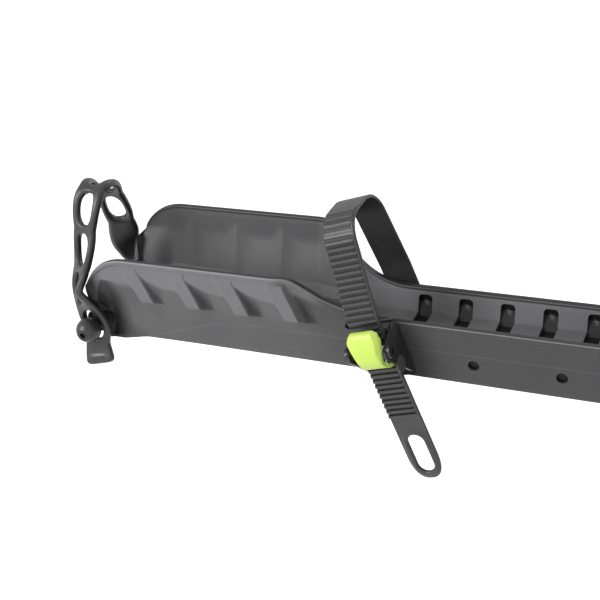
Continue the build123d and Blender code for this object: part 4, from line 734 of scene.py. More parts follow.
tray_points, tray_faces, tray_marks = build_tray()
spare_half = float(wall_half(np.array(SPARE_HOLE_U), np.array(SPARE_HOLE_HEIGHT), np.array(BAND_HEIGHT)))
for end in ("left", "right"):
    add_mesh(f"tray_half_{end}", tray_points, tray_faces, tray_skin, "carrier", [f"tray_{end}"],
             end == "right", marks=tray_marks)
    for side, where in ((-1, "near"), (1, "far")):
        # The ears' bosses and the flange's bosses get painted shade, darker than the wall
        add_round(f"ear_boss_{where}_{end}", (BALL_U, side * EAR_ROOT, BALL_HEIGHT), (0.0, side, 0.0),
                  EAR_RADIUS, EAR_FACE - EAR_ROOT, tray_skin, end == "right", EAR_SHADE)
        hole = (END_U + END_THICK - FLANGE_SINK, side * FLANGE_HOLE_Y, FLANGE_HOLE_HEIGHT)
        add_round(f"flange_boss_{where}_{end}", hole, (1.0, 0.0, 0.0), FLANGE_HOLE_RADIUS + FLANGE_BOSS_RIM,
                  FLANGE_BOSS_LENGTH, tray_skin, end == "right", BOSS_SHADE)
        # The flange's holes and the spare hole below are dark discs of painted shadow, not open holes
        add_round(f"flange_hole_shadow_{where}_{end}", hole, (1.0, 0.0, 0.0), FLANGE_HOLE_RADIUS,
                  FLANGE_HOLE_LENGTH, hole_dark, end == "right")
    add_round(f"spare_hole_shadow_{end}", (SPARE_HOLE_U, SPARE_HOLE_SINK - spare_half, SPARE_HOLE_HEIGHT),
              SPARE_HOLE_AXIS, SPARE_HOLE_RADIUS, SPARE_HOLE_LENGTH, hole_dark, end == "right")


# Rubber straps
# One thick moulded rubber strap at each end, with a row of long holes between two wavy
# rails. Its last hole hooks over the ball stud, its other end is screwed to the far ear,
# and it twists as it leaves the ball, arches over the tray and mirrors itself beyond.

RUBBER_DARK = (0.022, 0.022, 0.024)
RUBBER_LIGHT = (0.036, 0.036, 0.038)
rubber = skin_material("Strap rubber", RUBBER_DARK, RUBBER_LIGHT, mottle=45.0, grain=1600.0, speckle=0.5,
                       roughness=0.38, spread=0.2, depth=0.2, reach=0.0002, gloss=0.55)
STRAP_SEAT = 41.8
STRAP_RISE = 101.0
STRAP_BOW = 10.0
STRAP_TAIL_DROP = 32.0
STRAP_TAIL_OUT = 9.0
STRAP_FIXED_DROP = 13.0
STRAP_TAIL_SHIFT = 3.0
STRAP_TAIL_FLARE = 3.0
STRAP_TAIL_SPAN = (-18.0, -38.0)
STRAP_COURSE = ((0, 0, 1, 0), (0.129, 0.5, 1, 10), (0.255, 1.25, 0.91, 47), (0.396, 0.95, 0.78, 38),
                (0.547, 0.6, 0.657, 28), (0.696, 0.42, 0.535, 15), (0.843, 0.28, 0.414, 11),
                (0.957, 0.1, 0.24, 5), (1, 0, 0, 0))
STRAP_HALF_THICK = 3.0
STRAP_ROUND = 2.4
STRAP_WIDTH = 24.5
STRAP_WAIST = 21.5
STRAP_CREST_FLARE = 3.0
STRAP_CREST_ALONG = 114.0
STRAP_PITCH = 32.0
STRAP_HOLES = 6
STRAP_HOLE_HALF = (12.5, 7.0)
STRAP_WEB_DISH = 0.5
WEB_SPREAD = 5.0
WEB_START = 9.0
PLAIN_STEP = 3.2
STRAP_END_CORNER = 5.0
TAIL_POWER = 5
BAR_HEIGHT = 0.5
BAR_FROM_TIP = 6.0
BAR_HALF = (1.7, 6.5)
SIDE_COUNT = 16
RING_COUNT = 12
ROUTE_COUNT = 900
OVAL_POWER = 2.4
SLOT_CORNER = 0.6
HOLE_REACH = 40.0
NO_HOLE = 50.0


def spline_through(knots, values, places):
    """A natural cubic spline through rows of values at rising knots, read at the given places: its
    bends solve the three term equations between knots and are nil at both ends."""
    step = np.diff(knots)
    matrix = np.eye(knots.size)
    inner = np.arange(1, knots.size - 1)
    matrix[inner, inner - 1] = step[:-1]
    matrix[inner, inner] = 2 * (step[:-1] + step[1:])
    matrix[inner, inner + 1] = step[1:]
    change = np.zeros_like(values)
    change[1:-1] = 6 * np.diff(np.diff(values, axis=0) / step[:, None], axis=0)
    bend = np.linalg.solve(matrix, change)
    index = np.clip(np.searchsorted(knots, places) - 1, 0, knots.size - 2)
    width = step[index][:, None]
    before = (knots[index + 1] - places)[:, None] / width
    after = 1 - before
    curve = (before ** 3 - before) * bend[index] + (after ** 3 - after) * bend[index + 1]
    return before * values[index] + after * values[index + 1] + curve * width ** 2 / 6


def distance_along(line):
    """Each point's distance along a line of points, from its first."""
    return np.append(0, np.cumsum(np.linalg.norm(np.diff(line, axis=0), axis=1)))


def strap_route():
    """The strap's middle line with its twist, densely, and each place's distance past the ball."""
    near = [(BALL_U + STRAP_TAIL_SHIFT, -STRAP_SEAT - STRAP_TAIL_OUT, BALL_HEIGHT - STRAP_TAIL_DROP, 0),
            (BALL_U, -STRAP_SEAT - STRAP_TAIL_OUT / 4, BALL_HEIGHT - STRAP_TAIL_DROP / 2, 0)]
    for rise, bow, lean, twist in STRAP_COURSE:
        near.append((BALL_U - STRAP_BOW * bow, -STRAP_SEAT * lean, BALL_HEIGHT + STRAP_RISE * rise, twist))
    far = [(u, -y, height, -twist) for u, y, height, twist in reversed(near[2:-1])]
    course = np.array(near + far + [(BALL_U, STRAP_SEAT, BALL_HEIGHT - STRAP_FIXED_DROP, 0)], dtype=float)
    knots = distance_along(course[:, :3])
    places = np.linspace(0, knots[-1], ROUTE_COUNT)
    route = spline_through(knots, course, places)
    travelled = distance_along(route[:, :3])
    ball = np.interp(knots[2], places, travelled)
    return route, travelled - ball


def lay_on_route(route, travelled, along, across, out):
    """Flat places laid on a twisted route: across its width, turned by the twist and kept square
    to its run, and out along the normal."""
    run = unit(np.gradient(route[:, :3], axis=0))
    twist = np.radians(route[:, 3])
    wide = np.stack((np.cos(twist), -np.sin(twist), 0 * twist), axis=1)
    wide = unit(wide - run * np.sum(wide * run, axis=1)[:, None])
    normal = np.cross(wide, run)
    place, wide, normal = (
        np.stack([np.interp(along, travelled, part[:, axis]) for axis in range(3)], axis=-1)
        for part in (route, wide, normal))
    return place + wide * across[..., None] + normal * out[..., None]


def rounded(distance, radius):
    """Height share of a quarter round edge at a distance inside it."""
    share = np.clip(distance / radius, 0, 1)
    return np.sqrt(1 - (1 - share) ** 2)


def square_ring(count):
    """Points round a square of half size 1, bunched towards its corners, anticlockwise."""
    side = np.sin(np.linspace(-math.pi / 2, math.pi / 2, count + 1)[:-1])
    one = np.ones(count)
    return np.concatenate((np.stack((one, side), 1), np.stack((-side, one), 1),
                           np.stack((-one, -side), 1), np.stack((side, -one), 1)))


def holed_cell(centre, half_length, half_width, hole, power, count):
    """One cell of a flat strap round a long hole: rings from the hole's edge, a superellipse, out to
    the cell's border. A power above 0 rounds the border's lower end, and gives the hole straight
    sides between half circles. Gives the places along and across, and the distances to the outer
    edge and to the hole."""
    ring = square_ring(count)
    size = np.abs(ring)
    if power:
        bend = np.where(size[:, 1] > 0.999, share_of(size[:, 0], SLOT_CORNER, 1.0), 2 - size[:, 1])
        straight = (hole[0] - hole[1]) * np.minimum(size[:, 0] / SLOT_CORNER, 1)
        along = straight + hole[1] * np.sin(math.pi / 4 * bend)
        edge = np.sign(ring) * np.stack((along, hole[1] * np.cos(math.pi / 4 * bend)), axis=1)
        norm = (size ** power).sum(axis=1, keepdims=True) ** (1 / power)
        ring = np.where(ring[:, :1] < 0, ring / norm, ring)
    else:
        turn = np.arctan2(ring[:, 1], ring[:, 0])
        round_x, round_y = np.cos(turn), np.sin(turn)
        edge = np.stack((hole[0] * np.sign(round_x) * np.abs(round_x) ** (2 / OVAL_POWER),
                         hole[1] * np.sign(round_y) * np.abs(round_y) ** (2 / OVAL_POWER)), axis=1)
    border_x = half_length * ring[:, 0]
    border = np.stack((border_x, half_width(centre + border_x) * ring[:, 1]), axis=1)
    out = (1 - np.cos(np.linspace(0, math.pi, RING_COUNT + 1)))[:, None, None] / 2
    flat = edge + (border - edge) * out
    across = flat[..., 1]
    half = half_width(centre + flat[..., 0])
    inside = np.abs(across) / half
    if power:
        along_share = np.maximum(-flat[..., 0] / half_length, 0)
        inside = (along_share ** power + inside ** power) ** (1 / power)
    to_hole = out[..., 0] * np.linalg.norm(border - edge, axis=1)
    return centre + flat[..., 0], across, (1 - inside) * half, to_hole


def strip(along, half_width, count, end_corner):
    """A plain run of a flat strap, its columns matched to the cells', its end's corners rounded.
    Gives the places along and across, and the distance to the outer edge."""
    column = np.sin(np.linspace(-math.pi / 2, math.pi / 2, count + 1))
    left = along[-1] - along
    half = half_width(along) - end_corner
    half = half + np.sqrt(np.maximum(end_corner ** 2 - np.maximum(end_corner - left, 0) ** 2, 0))
    across = half[:, None] * column
    edge = np.minimum(half[:, None] - np.abs(across), left[:, None] + 0 * across)
    return along[:, None] + 0 * across, across, edge


def joined_sheets(sheets):
    """Points and faces of a strap's patches, each an upper and a lower grid of points that follow
    each other. A wrapped patch's last column joins its first."""
    points = []
    faces = []
    total = 0
    for upper, lower, wrap in sheets:
        rows, columns = upper.shape[:2]
        top = grid_faces(rows, columns, wrap_columns=wrap) + total
        points += [upper.reshape(-1, 3), lower.reshape(-1, 3)]
        faces += [top, top[:, ::-1] + rows * columns]
        total += 2 * rows * columns
    return np.concatenate(points), np.concatenate(faces)


def strap_half_width(along):
    """The wavy rails: widest beside each hole and narrowest between holes, stretched wider where
    the strap bends over its crest, and spread at the tail for the fingers."""
    wave = (1 + np.cos(2 * math.pi * along / STRAP_PITCH)) / 2
    flare = STRAP_CREST_FLARE * np.exp(-((along - STRAP_CREST_ALONG) / 20) ** 2)
    flare = flare + STRAP_TAIL_FLARE * share_of(along, *STRAP_TAIL_SPAN) ** 2
    return (STRAP_WAIST + (STRAP_WIDTH - STRAP_WAIST) * np.sqrt(wave) + flare) / 2


def build_rubber_strap():
    """Cells round the six holes, a tail pad with a raised bar below the ball, and a plain run to the
    fixed end, each with an upper and a lower face, laid on the route."""
    route, travelled = strap_route()
    tail_half = (-STRAP_PITCH / 2 - travelled[0]) / 2
    patches = []
    for index in range(STRAP_HOLES):
        middle = STRAP_PITCH * index
        cell = holed_cell(middle, STRAP_PITCH / 2, strap_half_width, STRAP_HOLE_HALF, 0, SIDE_COUNT)
        patches.append((cell, True))
    tail = holed_cell(-STRAP_PITCH / 2 - tail_half, tail_half, strap_half_width, (0.02, 0.02), TAIL_POWER,
                      SIDE_COUNT)
    patches.append(((*tail[:3], tail[3] + NO_HOLE), True))
    start = STRAP_PITCH * (STRAP_HOLES - 0.5)
    ending = travelled[-1] - np.array((5, 4, 3, 2, 1.2, 0.5, 0.1, 0))
    run = np.append(np.arange(start, travelled[-1] - 6, PLAIN_STEP), ending)
    plain = strip(run, strap_half_width, SIDE_COUNT, STRAP_END_CORNER)
    patches.append(((*plain, plain[2] + NO_HOLE), False))
    sheets = []
    for (along, across, to_edge, to_hole), wrap in patches:
        from_hole = np.abs(np.mod(along + STRAP_PITCH / 2, STRAP_PITCH) - STRAP_PITCH / 2)
        web = np.exp(-(across / WEB_SPREAD) ** 2) * share_of(from_hole, WEB_START, STRAP_PITCH / 2)
        height = STRAP_HALF_THICK - STRAP_WEB_DISH * web * (to_hole < HOLE_REACH)
        height = height * rounded(to_edge, STRAP_ROUND) * rounded(to_hole, STRAP_ROUND)
        bar_along = (along - travelled[0] - BAR_FROM_TIP) / BAR_HALF[0]
        bar = BAR_HEIGHT * np.exp(-bar_along ** 4 - (across / BAR_HALF[1]) ** 6)
        upper, lower = (lay_on_route(route, travelled, along, across, out) for out in (height + bar, -height))
        sheets.append((upper, lower, wrap))
    return joined_sheets(sheets)


strap_points, strap_faces = build_rubber_strap()
for end in ("left", "right"):
    strap = add_mesh(f"holed_strap_{end}", strap_points, strap_faces, rubber, "carrier",
                     [f"rubber_strap_{end}"], end == "right", 50.0)
    weld(strap)


# Ladder straps
# A tough nylon strap at each cradle, toothed on its outer face between a ragged left edge
# and a smooth rail, with a pull loop at its tail. It arches over the tray, and its far end
# is screwed to the far skirt.
# Its colour carries painted shade in the gaps between the teeth and a painted highlight on each tooth's sharp
# edge.

LADDER_DARK = (0.020, 0.020, 0.022)
LADDER_LIGHT = (0.034, 0.034, 0.036)
# Colour of the painted highlight on the teeth's sharp edges
LADDER_HIGHLIGHT = (0.075, 0.075, 0.077)
ladder_nylon = skin_material("Ladder nylon", LADDER_DARK, LADDER_LIGHT, mottle=60.0, grain=1500.0,
                             speckle=0.5, roughness=0.42, spread=0.15, depth=0.2, reach=0.00015, gloss=0.55)
paint_shade_and_highlight(ladder_nylon, LADDER_HIGHLIGHT)
LADDER_U = 126.5
LADDER_HEIGHT = 33.4
LADDER_LEAN = math.radians(17.5)
LADDER_HALF_WIDTH = 12.5
LADDER_HALF_THICK = 1.2
LADDER_CORNERS = ((-41.2, -116.0), (-41.2, 19.0), (-22.9, 90.5), (22.9, 90.5), (29.2, 26.0), (29.2, -26.0))
LADDER_BENDS = (25.0, 20.0, 20.0, 12.0)
TOOTH_PITCH = 4.4
TOOTH_HEIGHT = 1.5
TOOTH_PROFILE = ((0.0, 0.1, 0.52, 0.6, 1.0), (0.0, 1.0, 0.85, 0.0, 0.0))
TOOTH_SECTIONS = (0.0, 0.1, 0.3, 0.52, 0.6, 0.8)
TOOTH_WEAR = 0.85
# Painted shade in the gaps between the teeth
TOOTH_GAP_SHADE = 0.2
TEETH_END = -60.0
TEETH_TOP = 102.8
TEETH_FULL = 76.0
TEETH_FAINT = 88.0
TEETH_RIGHT = 10.2
RAIL_HEIGHT = 0.9
RAIL_FADE = 6.0
LOOP_CENTRE = -93.2
LOOP_HALF_LENGTH = 22.8
LOOP_HOLE_HALF = (16.4, 6.4)
LOOP_RIM_RISE = 0.9
LOOP_RIM_PLACE = 2.2
LOOP_RIM_SPREAD = 1.9
LOOP_POWER = 2.5
LADDER_END_CORNER = 5.0
LADDER_EDGE = 0.7
LOOP_EDGE = 1.2
LOOP_HOLE_EDGE = 1.4
LADDER_SIDE_COUNT = 24
LINE_COUNT = 1500
BEND_EASE = 12


def rounded_line(corners, radii):
    """A line through corners, each rounded to an arc of its radius, as close points."""
    corners = [np.array(corner) for corner in corners]
    line = [corners[0][None]]
    for before, corner, after, radius in zip(corners, corners[1:], corners[2:], radii):
        back = unit(before - corner)
        ahead = unit(after - corner)
        half = math.acos(np.dot(back, ahead)) / 2
        middle = corner + unit(back + ahead) * radius / math.sin(half)
        first = corner + back * radius / math.tan(half) - middle
        last = corner + ahead * radius / math.tan(half) - middle
        turn = math.pi - 2 * half
        share = np.linspace(0, 1, 24)[:, None]
        spread = np.sin((1 - share) * turn) * first + np.sin(share * turn) * last
        line.append(middle + spread / math.sin(turn))
    line.append(corners[-1][None])
    return np.concatenate(line)


def ladder_arch():
    """The arch that the strap follows: each close point's distance past the place level with the
    buckle's pin, the points, and their directions, eased through the bends."""
    line = rounded_line(LADDER_CORNERS, LADDER_BENDS)
    travelled = distance_along(line)
    fine = np.linspace(0, travelled[-1], LINE_COUNT)
    line = np.stack([np.interp(fine, travelled, line[:, axis]) for axis in range(2)], axis=1)
    run = unit(np.gradient(line, axis=0))
    smooth = np.ones(2 * BEND_EASE + 1) / (2 * BEND_EASE + 1)
    padded = np.pad(run, ((BEND_EASE, BEND_EASE), (0, 0)), mode="edge")
    run = np.stack([np.convolve(padded[:, axis], smooth, "valid") for axis in range(2)], axis=1)
    level = fine[np.argmin(np.abs(line[:LINE_COUNT // 3, 1]))]
    return fine - level, line, run


def lay_on_ladder(arch, along, across, out):
    """Flat places laid on the ladder strap's arch, then leaned over with it."""
    travelled, line, run = arch
    y, rise, run_y, run_rise = (np.interp(along, travelled, part) for part in (*line.T, *run.T))
    y = y - run_rise * out
    rise = rise + run_y * out
    u = LADDER_U + across * math.cos(LADDER_LEAN) - rise * math.sin(LADDER_LEAN)
    height = LADDER_HEIGHT + across * math.sin(LADDER_LEAN) + rise * math.cos(LADDER_LEAN)
    return np.stack((u, y, height), axis=-1)


def tooth_height(along):
    """The teeth's profile along the strap: a steep back, a top that slopes a little, and a gap.
    They are worn down to faint lines towards the crest."""
    share = np.mod(along - TEETH_END, TOOTH_PITCH) / TOOTH_PITCH
    profile = np.interp(share, *TOOTH_PROFILE)
    worn = 1 - TOOTH_WEAR * share_of(along, TEETH_FULL, TEETH_FAINT)
    return profile * worn * ((along > TEETH_END - 0.001) & (along < TEETH_TOP))


def ladder_half_width(along):
    """The strap's even half width, at every place along it."""
    return LADDER_HALF_WIDTH + 0 * along


def build_ladder_strap():
    """The pull loop's ring, then the toothed run over the arch to the fixed end, each with an upper
    and a lower face, laid on the arch. Its marks are painted shade, darker in the gaps between the
    teeth, and a painted highlight on each tooth's sharp edge."""
    loop = holed_cell(LOOP_CENTRE, LOOP_HALF_LENGTH, ladder_half_width, LOOP_HOLE_HALF, LOOP_POWER,
                      LADDER_SIDE_COUNT)
    arch = ladder_arch()
    end = arch[0][-1]
    teeth = TOOTH_PITCH * np.array(TOOTH_SECTIONS)
    teeth = np.arange(TEETH_END, TEETH_TOP, TOOTH_PITCH)[:, None] + teeth
    ending = end - np.array((6, 5, 4, 3, 2, 1.2, 0.5, 0.1, 0))
    run = np.concatenate(((LOOP_CENTRE + LOOP_HALF_LENGTH, -66.0, -61.0), teeth.ravel(),
                          np.arange(TEETH_TOP + 4, end - 7, 2.5), ending))
    plain = strip(run, ladder_half_width, LADDER_SIDE_COUNT, LADDER_END_CORNER)
    sheets = []
    finish = []
    burnish = []
    for (along, across, to_edge, to_hole), wrap in ((loop, True), ((*plain, plain[2] + NO_HOLE), False)):
        edge = rounded(to_edge, LADDER_EDGE)
        hole_edge = rounded(to_hole, LOOP_HOLE_EDGE)
        base = LADDER_HALF_THICK * edge * hole_edge
        toothed = tooth_height(along) * TOOTH_HEIGHT * (across < TEETH_RIGHT)
        rail = RAIL_HEIGHT * (across > TEETH_RIGHT) * share_of(along, TEETH_END - RAIL_FADE, TEETH_END)
        rail = rail * (1 - share_of(along, TEETH_TOP, TEETH_TOP + RAIL_FADE))
        rim = LOOP_RIM_RISE * np.exp(-((to_hole - LOOP_RIM_PLACE) / LOOP_RIM_SPREAD) ** 2)
        rim = rim * (to_hole < HOLE_REACH) * rounded(to_edge, LOOP_EDGE)
        upper = lay_on_ladder(arch, along, across, base + (toothed + rail) * edge + rim * hole_edge)
        sheets.append((upper, lay_on_ladder(arch, along, across, -base - rim * 0.5), wrap))
        depth = (across < TEETH_RIGHT) * (along > TEETH_END) * (1 - share_of(along, TEETH_FULL, TEETH_FAINT))
        gap = 1 - (1 - TOOTH_GAP_SHADE) * depth * (tooth_height(along) < 0.5)
        sharp = depth * (tooth_height(along) > 0.95)
        finish += [gap.ravel(), np.ones(gap.size)]
        burnish += [sharp.ravel(), np.zeros(sharp.size)]
    marks = (("finish", np.concatenate(finish)), ("burnish", np.concatenate(burnish)))
    return *joined_sheets(sheets), marks


ladder_points, ladder_faces, ladder_marks = build_ladder_strap()
for end in ("left", "right"):
    strap = add_mesh(f"toothed_strap_{end}", ladder_points, ladder_faces, ladder_nylon, "carrier",
                     [f"ladder_strap_{end}"], end == "right", 28.0, marks=ladder_marks)
    weld(strap)


# Bracket lugs
# The rounded grey tongue at the lower corner of each buckle's bracket, a moulded disc of the
# tray's plastic that lies against the cheek and leans with the buckle.

BUCKLE_LEAN = math.radians(16.0)
LUG_PLACE = (144.6, -42.6, 22.4)
LUG_RADIUS = 6.2
LUG_THICK = 1.6
# Painted shade darkens the lug's colour to half
LUG_SHADE = 0.5

for end in ("left", "right"):
    add_round(f"bracket_lug_{end}", LUG_PLACE, (math.cos(BUCKLE_LEAN), 0.0, math.sin(BUCKLE_LEAN)),
              LUG_RADIUS, LUG_THICK, tray_skin, end == "right", LUG_SHADE)


# Thumb levers
# A lime nylon lever on each buckle's pin: a curved thumb plate with a chamfered right side
# and a lip that flares past the strap, on a hub round the pin.

LIME_DARK = (0.70, 0.96, 0.13)
LIME_LIGHT = (0.78, 0.98, 0.19)
lime = skin_material("Lime nylon", LIME_DARK, LIME_LIGHT, mottle=80.0, grain=1700.0, speckle=0.6,
                     roughness=0.42, spread=0.1, depth=0.2, reach=0.00015)
LEVER_PIN_Y = -50.0
LEVER_LEFT = -9.0
LEVER_RIGHT = 8.2
LEVER_EDGE_RISES = (-12.0, -8.5, -5.0, 0.0, 8.0, 13.0, 18.2)
LEVER_EDGE_LEFT = (-5.4, -5.8, -6.3, -7.2, -8.9, -9.8, -10.2)
LEVER_EDGE_RIGHT = (13.2, 11.8, 11.6, 12.4, 13.8, 14.4, 12.6)
LEVER_WALL = 2.2
LEVER_TOP = LEVER_EDGE_RISES[-1]
LEVER_TOP_ROUND = 4.0
LEVER_TOP_CUT = 1.9
FACET_LEAST = 0.4
FACET_GROWTH = 3.0
FACET_RISES = (-6.0, 4.0)
LEVER_FACE = ((-1.0, 18.2), (-4.5, 18.0), (-7.2, 15.0), (-9.0, 9.0), (-9.6, 2.0), (-9.0, -4.0), (-6.0, -9.2),
              (-1.0, -12.4), (4.6, -13.6))
LEVER_SECTIONS = 40
LEVER_HUB = (3.1, 5.4)
HUB_CHAMFER = 0.4


def on_pin(x, y, rise):
    """Places in the buckle's leaning frame, whose origin is the pin, moved to the cradle's frame."""
    u = LADDER_U + x * math.cos(BUCKLE_LEAN) - rise * math.sin(BUCKLE_LEAN)
    height = LADDER_HEIGHT + x * math.sin(BUCKLE_LEAN) + rise * math.cos(BUCKLE_LEAN)
    return np.stack((u, LEVER_PIN_Y + y, height), axis=-1)


def build_lever():
    """The thumb plate, rows along its bent face and columns across it and back round its inside,
    and the hub, a short tube."""
    face = np.array(LEVER_FACE)
    knots = distance_along(face)
    face = spline_through(knots, face, np.linspace(0, knots[-1], LEVER_SECTIONS))
    y, rise = face[:, :1], face[:, 1:]
    run = unit(np.gradient(face, axis=0))
    in_y, in_rise = -run[:, 1:], run[:, :1]
    right = np.interp(rise, LEVER_EDGE_RISES, LEVER_EDGE_RIGHT)
    left = np.interp(rise, LEVER_EDGE_RISES, LEVER_EDGE_LEFT)
    left = left + LEVER_TOP_CUT * (1 - share_of(LEVER_TOP - rise, 0.0, LEVER_TOP_ROUND))
    facet = FACET_LEAST + FACET_GROWTH * share_of(rise, *FACET_RISES)
    most = FACET_LEAST + FACET_GROWTH
    x = np.concatenate((left, left + 0.25, left + 0.9, left + 6, right - 7, right - facet - 0.4,
                        right - facet, right - facet + 0.4 * facet / most, right - facet / 2,
                        right - facet / 9, right), axis=1)
    deep = np.array((0.9, 0.25, 0.0, 0.0, 0.0, 0.0, 0.1, 0.35, 1.4, 2.3, 2.9)) * (facet + 1) / (most + 1)
    inner_x = np.clip(x[:, ::-1], left + 0.02, right - 0.02)
    inner_deep = LEVER_WALL + deep[:, ::-1]
    all_x = np.concatenate((x, inner_x), axis=1)
    all_deep = np.concatenate((deep, inner_deep), axis=1)
    plate = on_pin(all_x, y + in_y * all_deep, rise + in_rise * all_deep)
    rows, columns = all_x.shape
    faces = capped_faces(rows, columns)
    angle = np.linspace(0, 2 * math.pi, 33)[:-1, None]
    inner, outer = LEVER_HUB
    radius = np.array((inner, outer - HUB_CHAMFER, outer, outer, outer - HUB_CHAMFER, inner))
    x = np.array((LEVER_LEFT, LEVER_LEFT, LEVER_LEFT + HUB_CHAMFER, LEVER_RIGHT - HUB_CHAMFER, LEVER_RIGHT,
                  LEVER_RIGHT)) + 0 * angle
    hub = on_pin(x, radius * np.cos(angle), radius * np.sin(angle))
    ring = grid_faces(*hub.shape[:2], wrap_rows=True, wrap_columns=True) + rows * columns
    faces += [list(quad) for quad in ring]
    return np.concatenate((plate.reshape(-1, 3), hub.reshape(-1, 3))), faces


lever_points, lever_faces = build_lever()
for end in ("left", "right"):
    lever = add_mesh(f"thumb_lever_{end}", lever_points, lever_faces, lime, f"lever_{end}",
                     [f"buckle_lever_{end}"], end == "right", 38.0)
    weld(lever)


# Clamp pads
# Two half rings of soft rubber glued in the clamp's jaws, with shallow grooves across the
# face that grips the tube.

PAD_INNER = 20.0
PAD_OUTER = 25.0
PAD_HALF = 18.0
PAD_GROOVE = 0.7
PAD_GROOVES = 9
PAD_SPAN = (math.radians(3.0), math.radians(177.0), 110)
pad_low, pad_high = (np.array(corner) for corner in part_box("lower_pad"))
PAD_CENTRE = (np.array((0.0, (pad_low[1] + pad_high[1]) / 2, pad_high[2] + 0.001)) - CRADLE_PLACE) / MM


def build_pad(side):
    """A half ring swept round the grip's axis, its inner radius dented in a row of grooves, with a
    flat cap at each end."""
    angle = side * np.linspace(*PAD_SPAN)[:, None]
    dent = PAD_GROOVE * (np.cos(angle * 2 * PAD_GROOVES) > 0.6)
    dented = np.array((0, 1, 1, 0, 0, 0))
    thick = PAD_OUTER - PAD_INNER
    radius = PAD_INNER + np.array((0.5, 0, 0, 0.5, thick, thick)) + dent * dented
    x = PAD_HALF * np.array((-1.0, -0.96, 0.96, 1.0, 1.0, -1.0)) + 0 * radius
    ring = np.stack((x, radius * np.cos(angle), radius * np.sin(angle)), axis=-1) + PAD_CENTRE
    return ring.reshape(-1, 3), capped_faces(*radius.shape)


for node, body, side in (("lower_pad", "clamp", -1), ("upper_pad", "upper_jaw", 1)):
    pad_points, pad_faces = build_pad(side)
    weld(add_mesh(f"soft_{node}", pad_points, pad_faces, rubber, body, [node]))


# Floor, light and camera
# The floor is a plain pale sheet under the carrier, which hangs from the tow bar. An even
# white world and three large soft lamps light it: the key from the left, a low fill in
# front and one from behind.

WHITE = (1.0, 1.0, 1.0, 1.0)
FLOOR_DROP = 0.33
FLOOR_HALF = 6.0
FLOOR_COLOUR = (0.8, 0.8, 0.8, 1.0)
FLOOR_ROUGHNESS = 0.9
FLOOR_GLOW = 0.9
WORLD_LIGHT = 0.2
LAMPS = (("Key lamp", (-1.7, -1.7, 1.3), (-0.4, -0.3, 0.15), 1.1, 36.0),
         ("Fill lamp", (0.6, -2.4, 0.7), (-0.2, -0.3, 0.15), 1.8, 9.0),
         ("Back lamp", (0.6, 2.0, 2.0), (0.0, -0.2, 0.2), 1.4, 26.0))
CAMERA_PLACE = (-0.1142, -0.9410, 0.5702)
CAMERA_YAW = math.radians(28.232)
CAMERA_ELEVATION = math.radians(31.064)
CAMERA_ROLL = math.radians(-8.299)
FOCAL_PIXELS = 1136.6
PHOTO_WIDTH = 600
SENSOR = 36.0


def camera_axes():
    """The camera's right, up and back directions: yaw and elevation first, then roll about its view."""
    look = np.array([-math.sin(CAMERA_YAW) * math.cos(CAMERA_ELEVATION),
                     math.cos(CAMERA_YAW) * math.cos(CAMERA_ELEVATION), -math.sin(CAMERA_ELEVATION)])
    level = np.array([math.cos(CAMERA_YAW), math.sin(CAMERA_YAW), 0.0])
    upright = np.cross(level, look)
    right = math.cos(CAMERA_ROLL) * level + math.sin(CAMERA_ROLL) * upright
    up = -math.sin(CAMERA_ROLL) * level + math.cos(CAMERA_ROLL) * upright
    return right, up, -look


def stand(item, axes, place):
    """Turns an object to three axes, the columns of its matrix, and moves it to a place."""
    matrix = np.eye(4)
    matrix[:3, :3] = np.stack(axes, axis=1)
    matrix[:3, 3] = place
    item.matrix_world = Matrix(matrix.tolist())


def place_camera():
    """A camera with the photograph's focal length, from its place and directions."""
    data = bpy.data.cameras.new("Camera")
    data.sensor_width = SENSOR
    data.sensor_fit = "HORIZONTAL"
    data.lens = FOCAL_PIXELS * SENSOR / PHOTO_WIDTH
    data.clip_start = 0.01
    data.clip_end = 50.0
    camera = new_object("Camera", data)
    stand(camera, camera_axes(), CAMERA_PLACE)
    bpy.context.scene.camera = camera


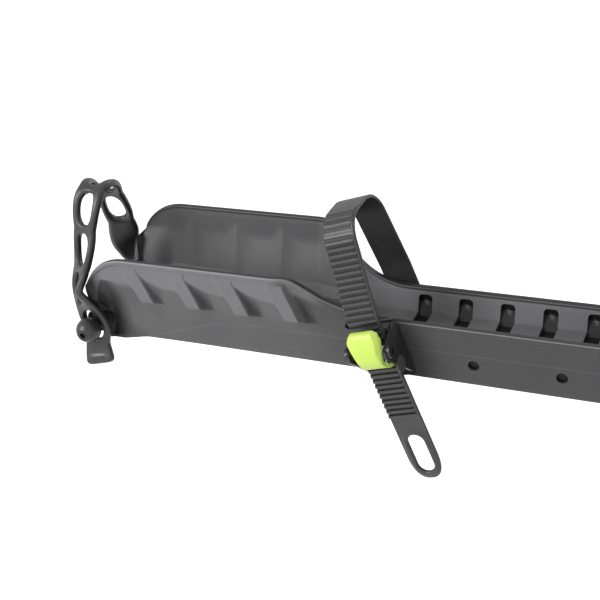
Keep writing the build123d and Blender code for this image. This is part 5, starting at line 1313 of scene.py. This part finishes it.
def show_white(tree, plain, white, strength_socket):
    """A strength that is white for camera, glossy and transmission rays, and plain for the rays
    that light the carrier."""
    path = tree.nodes.new("ShaderNodeLightPath")
    seen = path.outputs["Is Camera Ray"]
    for ray in ("Is Glossy Ray", "Is Transmission Ray"):
        seen = add_node(tree, "ShaderNodeMath", ((0, seen), (1, path.outputs[ray])),
                        operation="MAXIMUM").outputs[0]
    level = add_node(tree, "ShaderNodeMapRange", (("Value", seen), ("To Min", plain), ("To Max", white)))
    tree.links.new(level.outputs["Result"], strength_socket)


def light_world():
    """An even white world, dimmer for lighting than it looks."""
    world = bpy.data.worlds.new("Studio")
    bpy.context.scene.world = world
    world.use_nodes = True
    tree = world.node_tree
    back = tree.nodes["Background"]
    back.inputs["Color"].default_value = WHITE
    show_white(tree, WORLD_LIGHT, 1.0, back.inputs["Strength"])


def lay_floor():
    """A flat sheet under the carrier, pale and matt."""
    bottom = cad_box[0][2] - FLOOR_DROP
    corners = [(-FLOOR_HALF, -FLOOR_HALF, bottom), (FLOOR_HALF, -FLOOR_HALF, bottom),
               (FLOOR_HALF, FLOOR_HALF, bottom), (-FLOOR_HALF, FLOOR_HALF, bottom)]
    mesh = bpy.data.meshes.new("Floor")
    mesh.from_pydata(corners, [], [(0, 1, 2, 3)])
    floor = new_object("Floor", mesh)
    material = bpy.data.materials.new("Pale floor")
    material.use_nodes = True
    shader = material.node_tree.nodes["Principled BSDF"]
    shader.inputs["Base Color"].default_value = FLOOR_COLOUR
    shader.inputs["Roughness"].default_value = FLOOR_ROUGHNESS
    shader.inputs["Emission Color"].default_value = WHITE
    show_white(material.node_tree, 0.0, FLOOR_GLOW, shader.inputs["Emission Strength"])
    mesh.materials.append(material)


def area_light(name, place, target, size, watts):
    """A square lamp that faces its target."""
    data = bpy.data.lights.new(name, "AREA")
    data.size = size
    data.energy = watts
    lamp = new_object(name, data)
    back = unit(np.array(place) - np.array(target))
    side = unit(np.cross((0.0, 0.0, 1.0), back))
    stand(lamp, (side, np.cross(back, side), back), place)


place_camera()
light_world()
lay_floor()
for lamp in LAMPS:
    area_light(*lamp)
bpy.context.scene.view_settings.view_transform = "Standard"
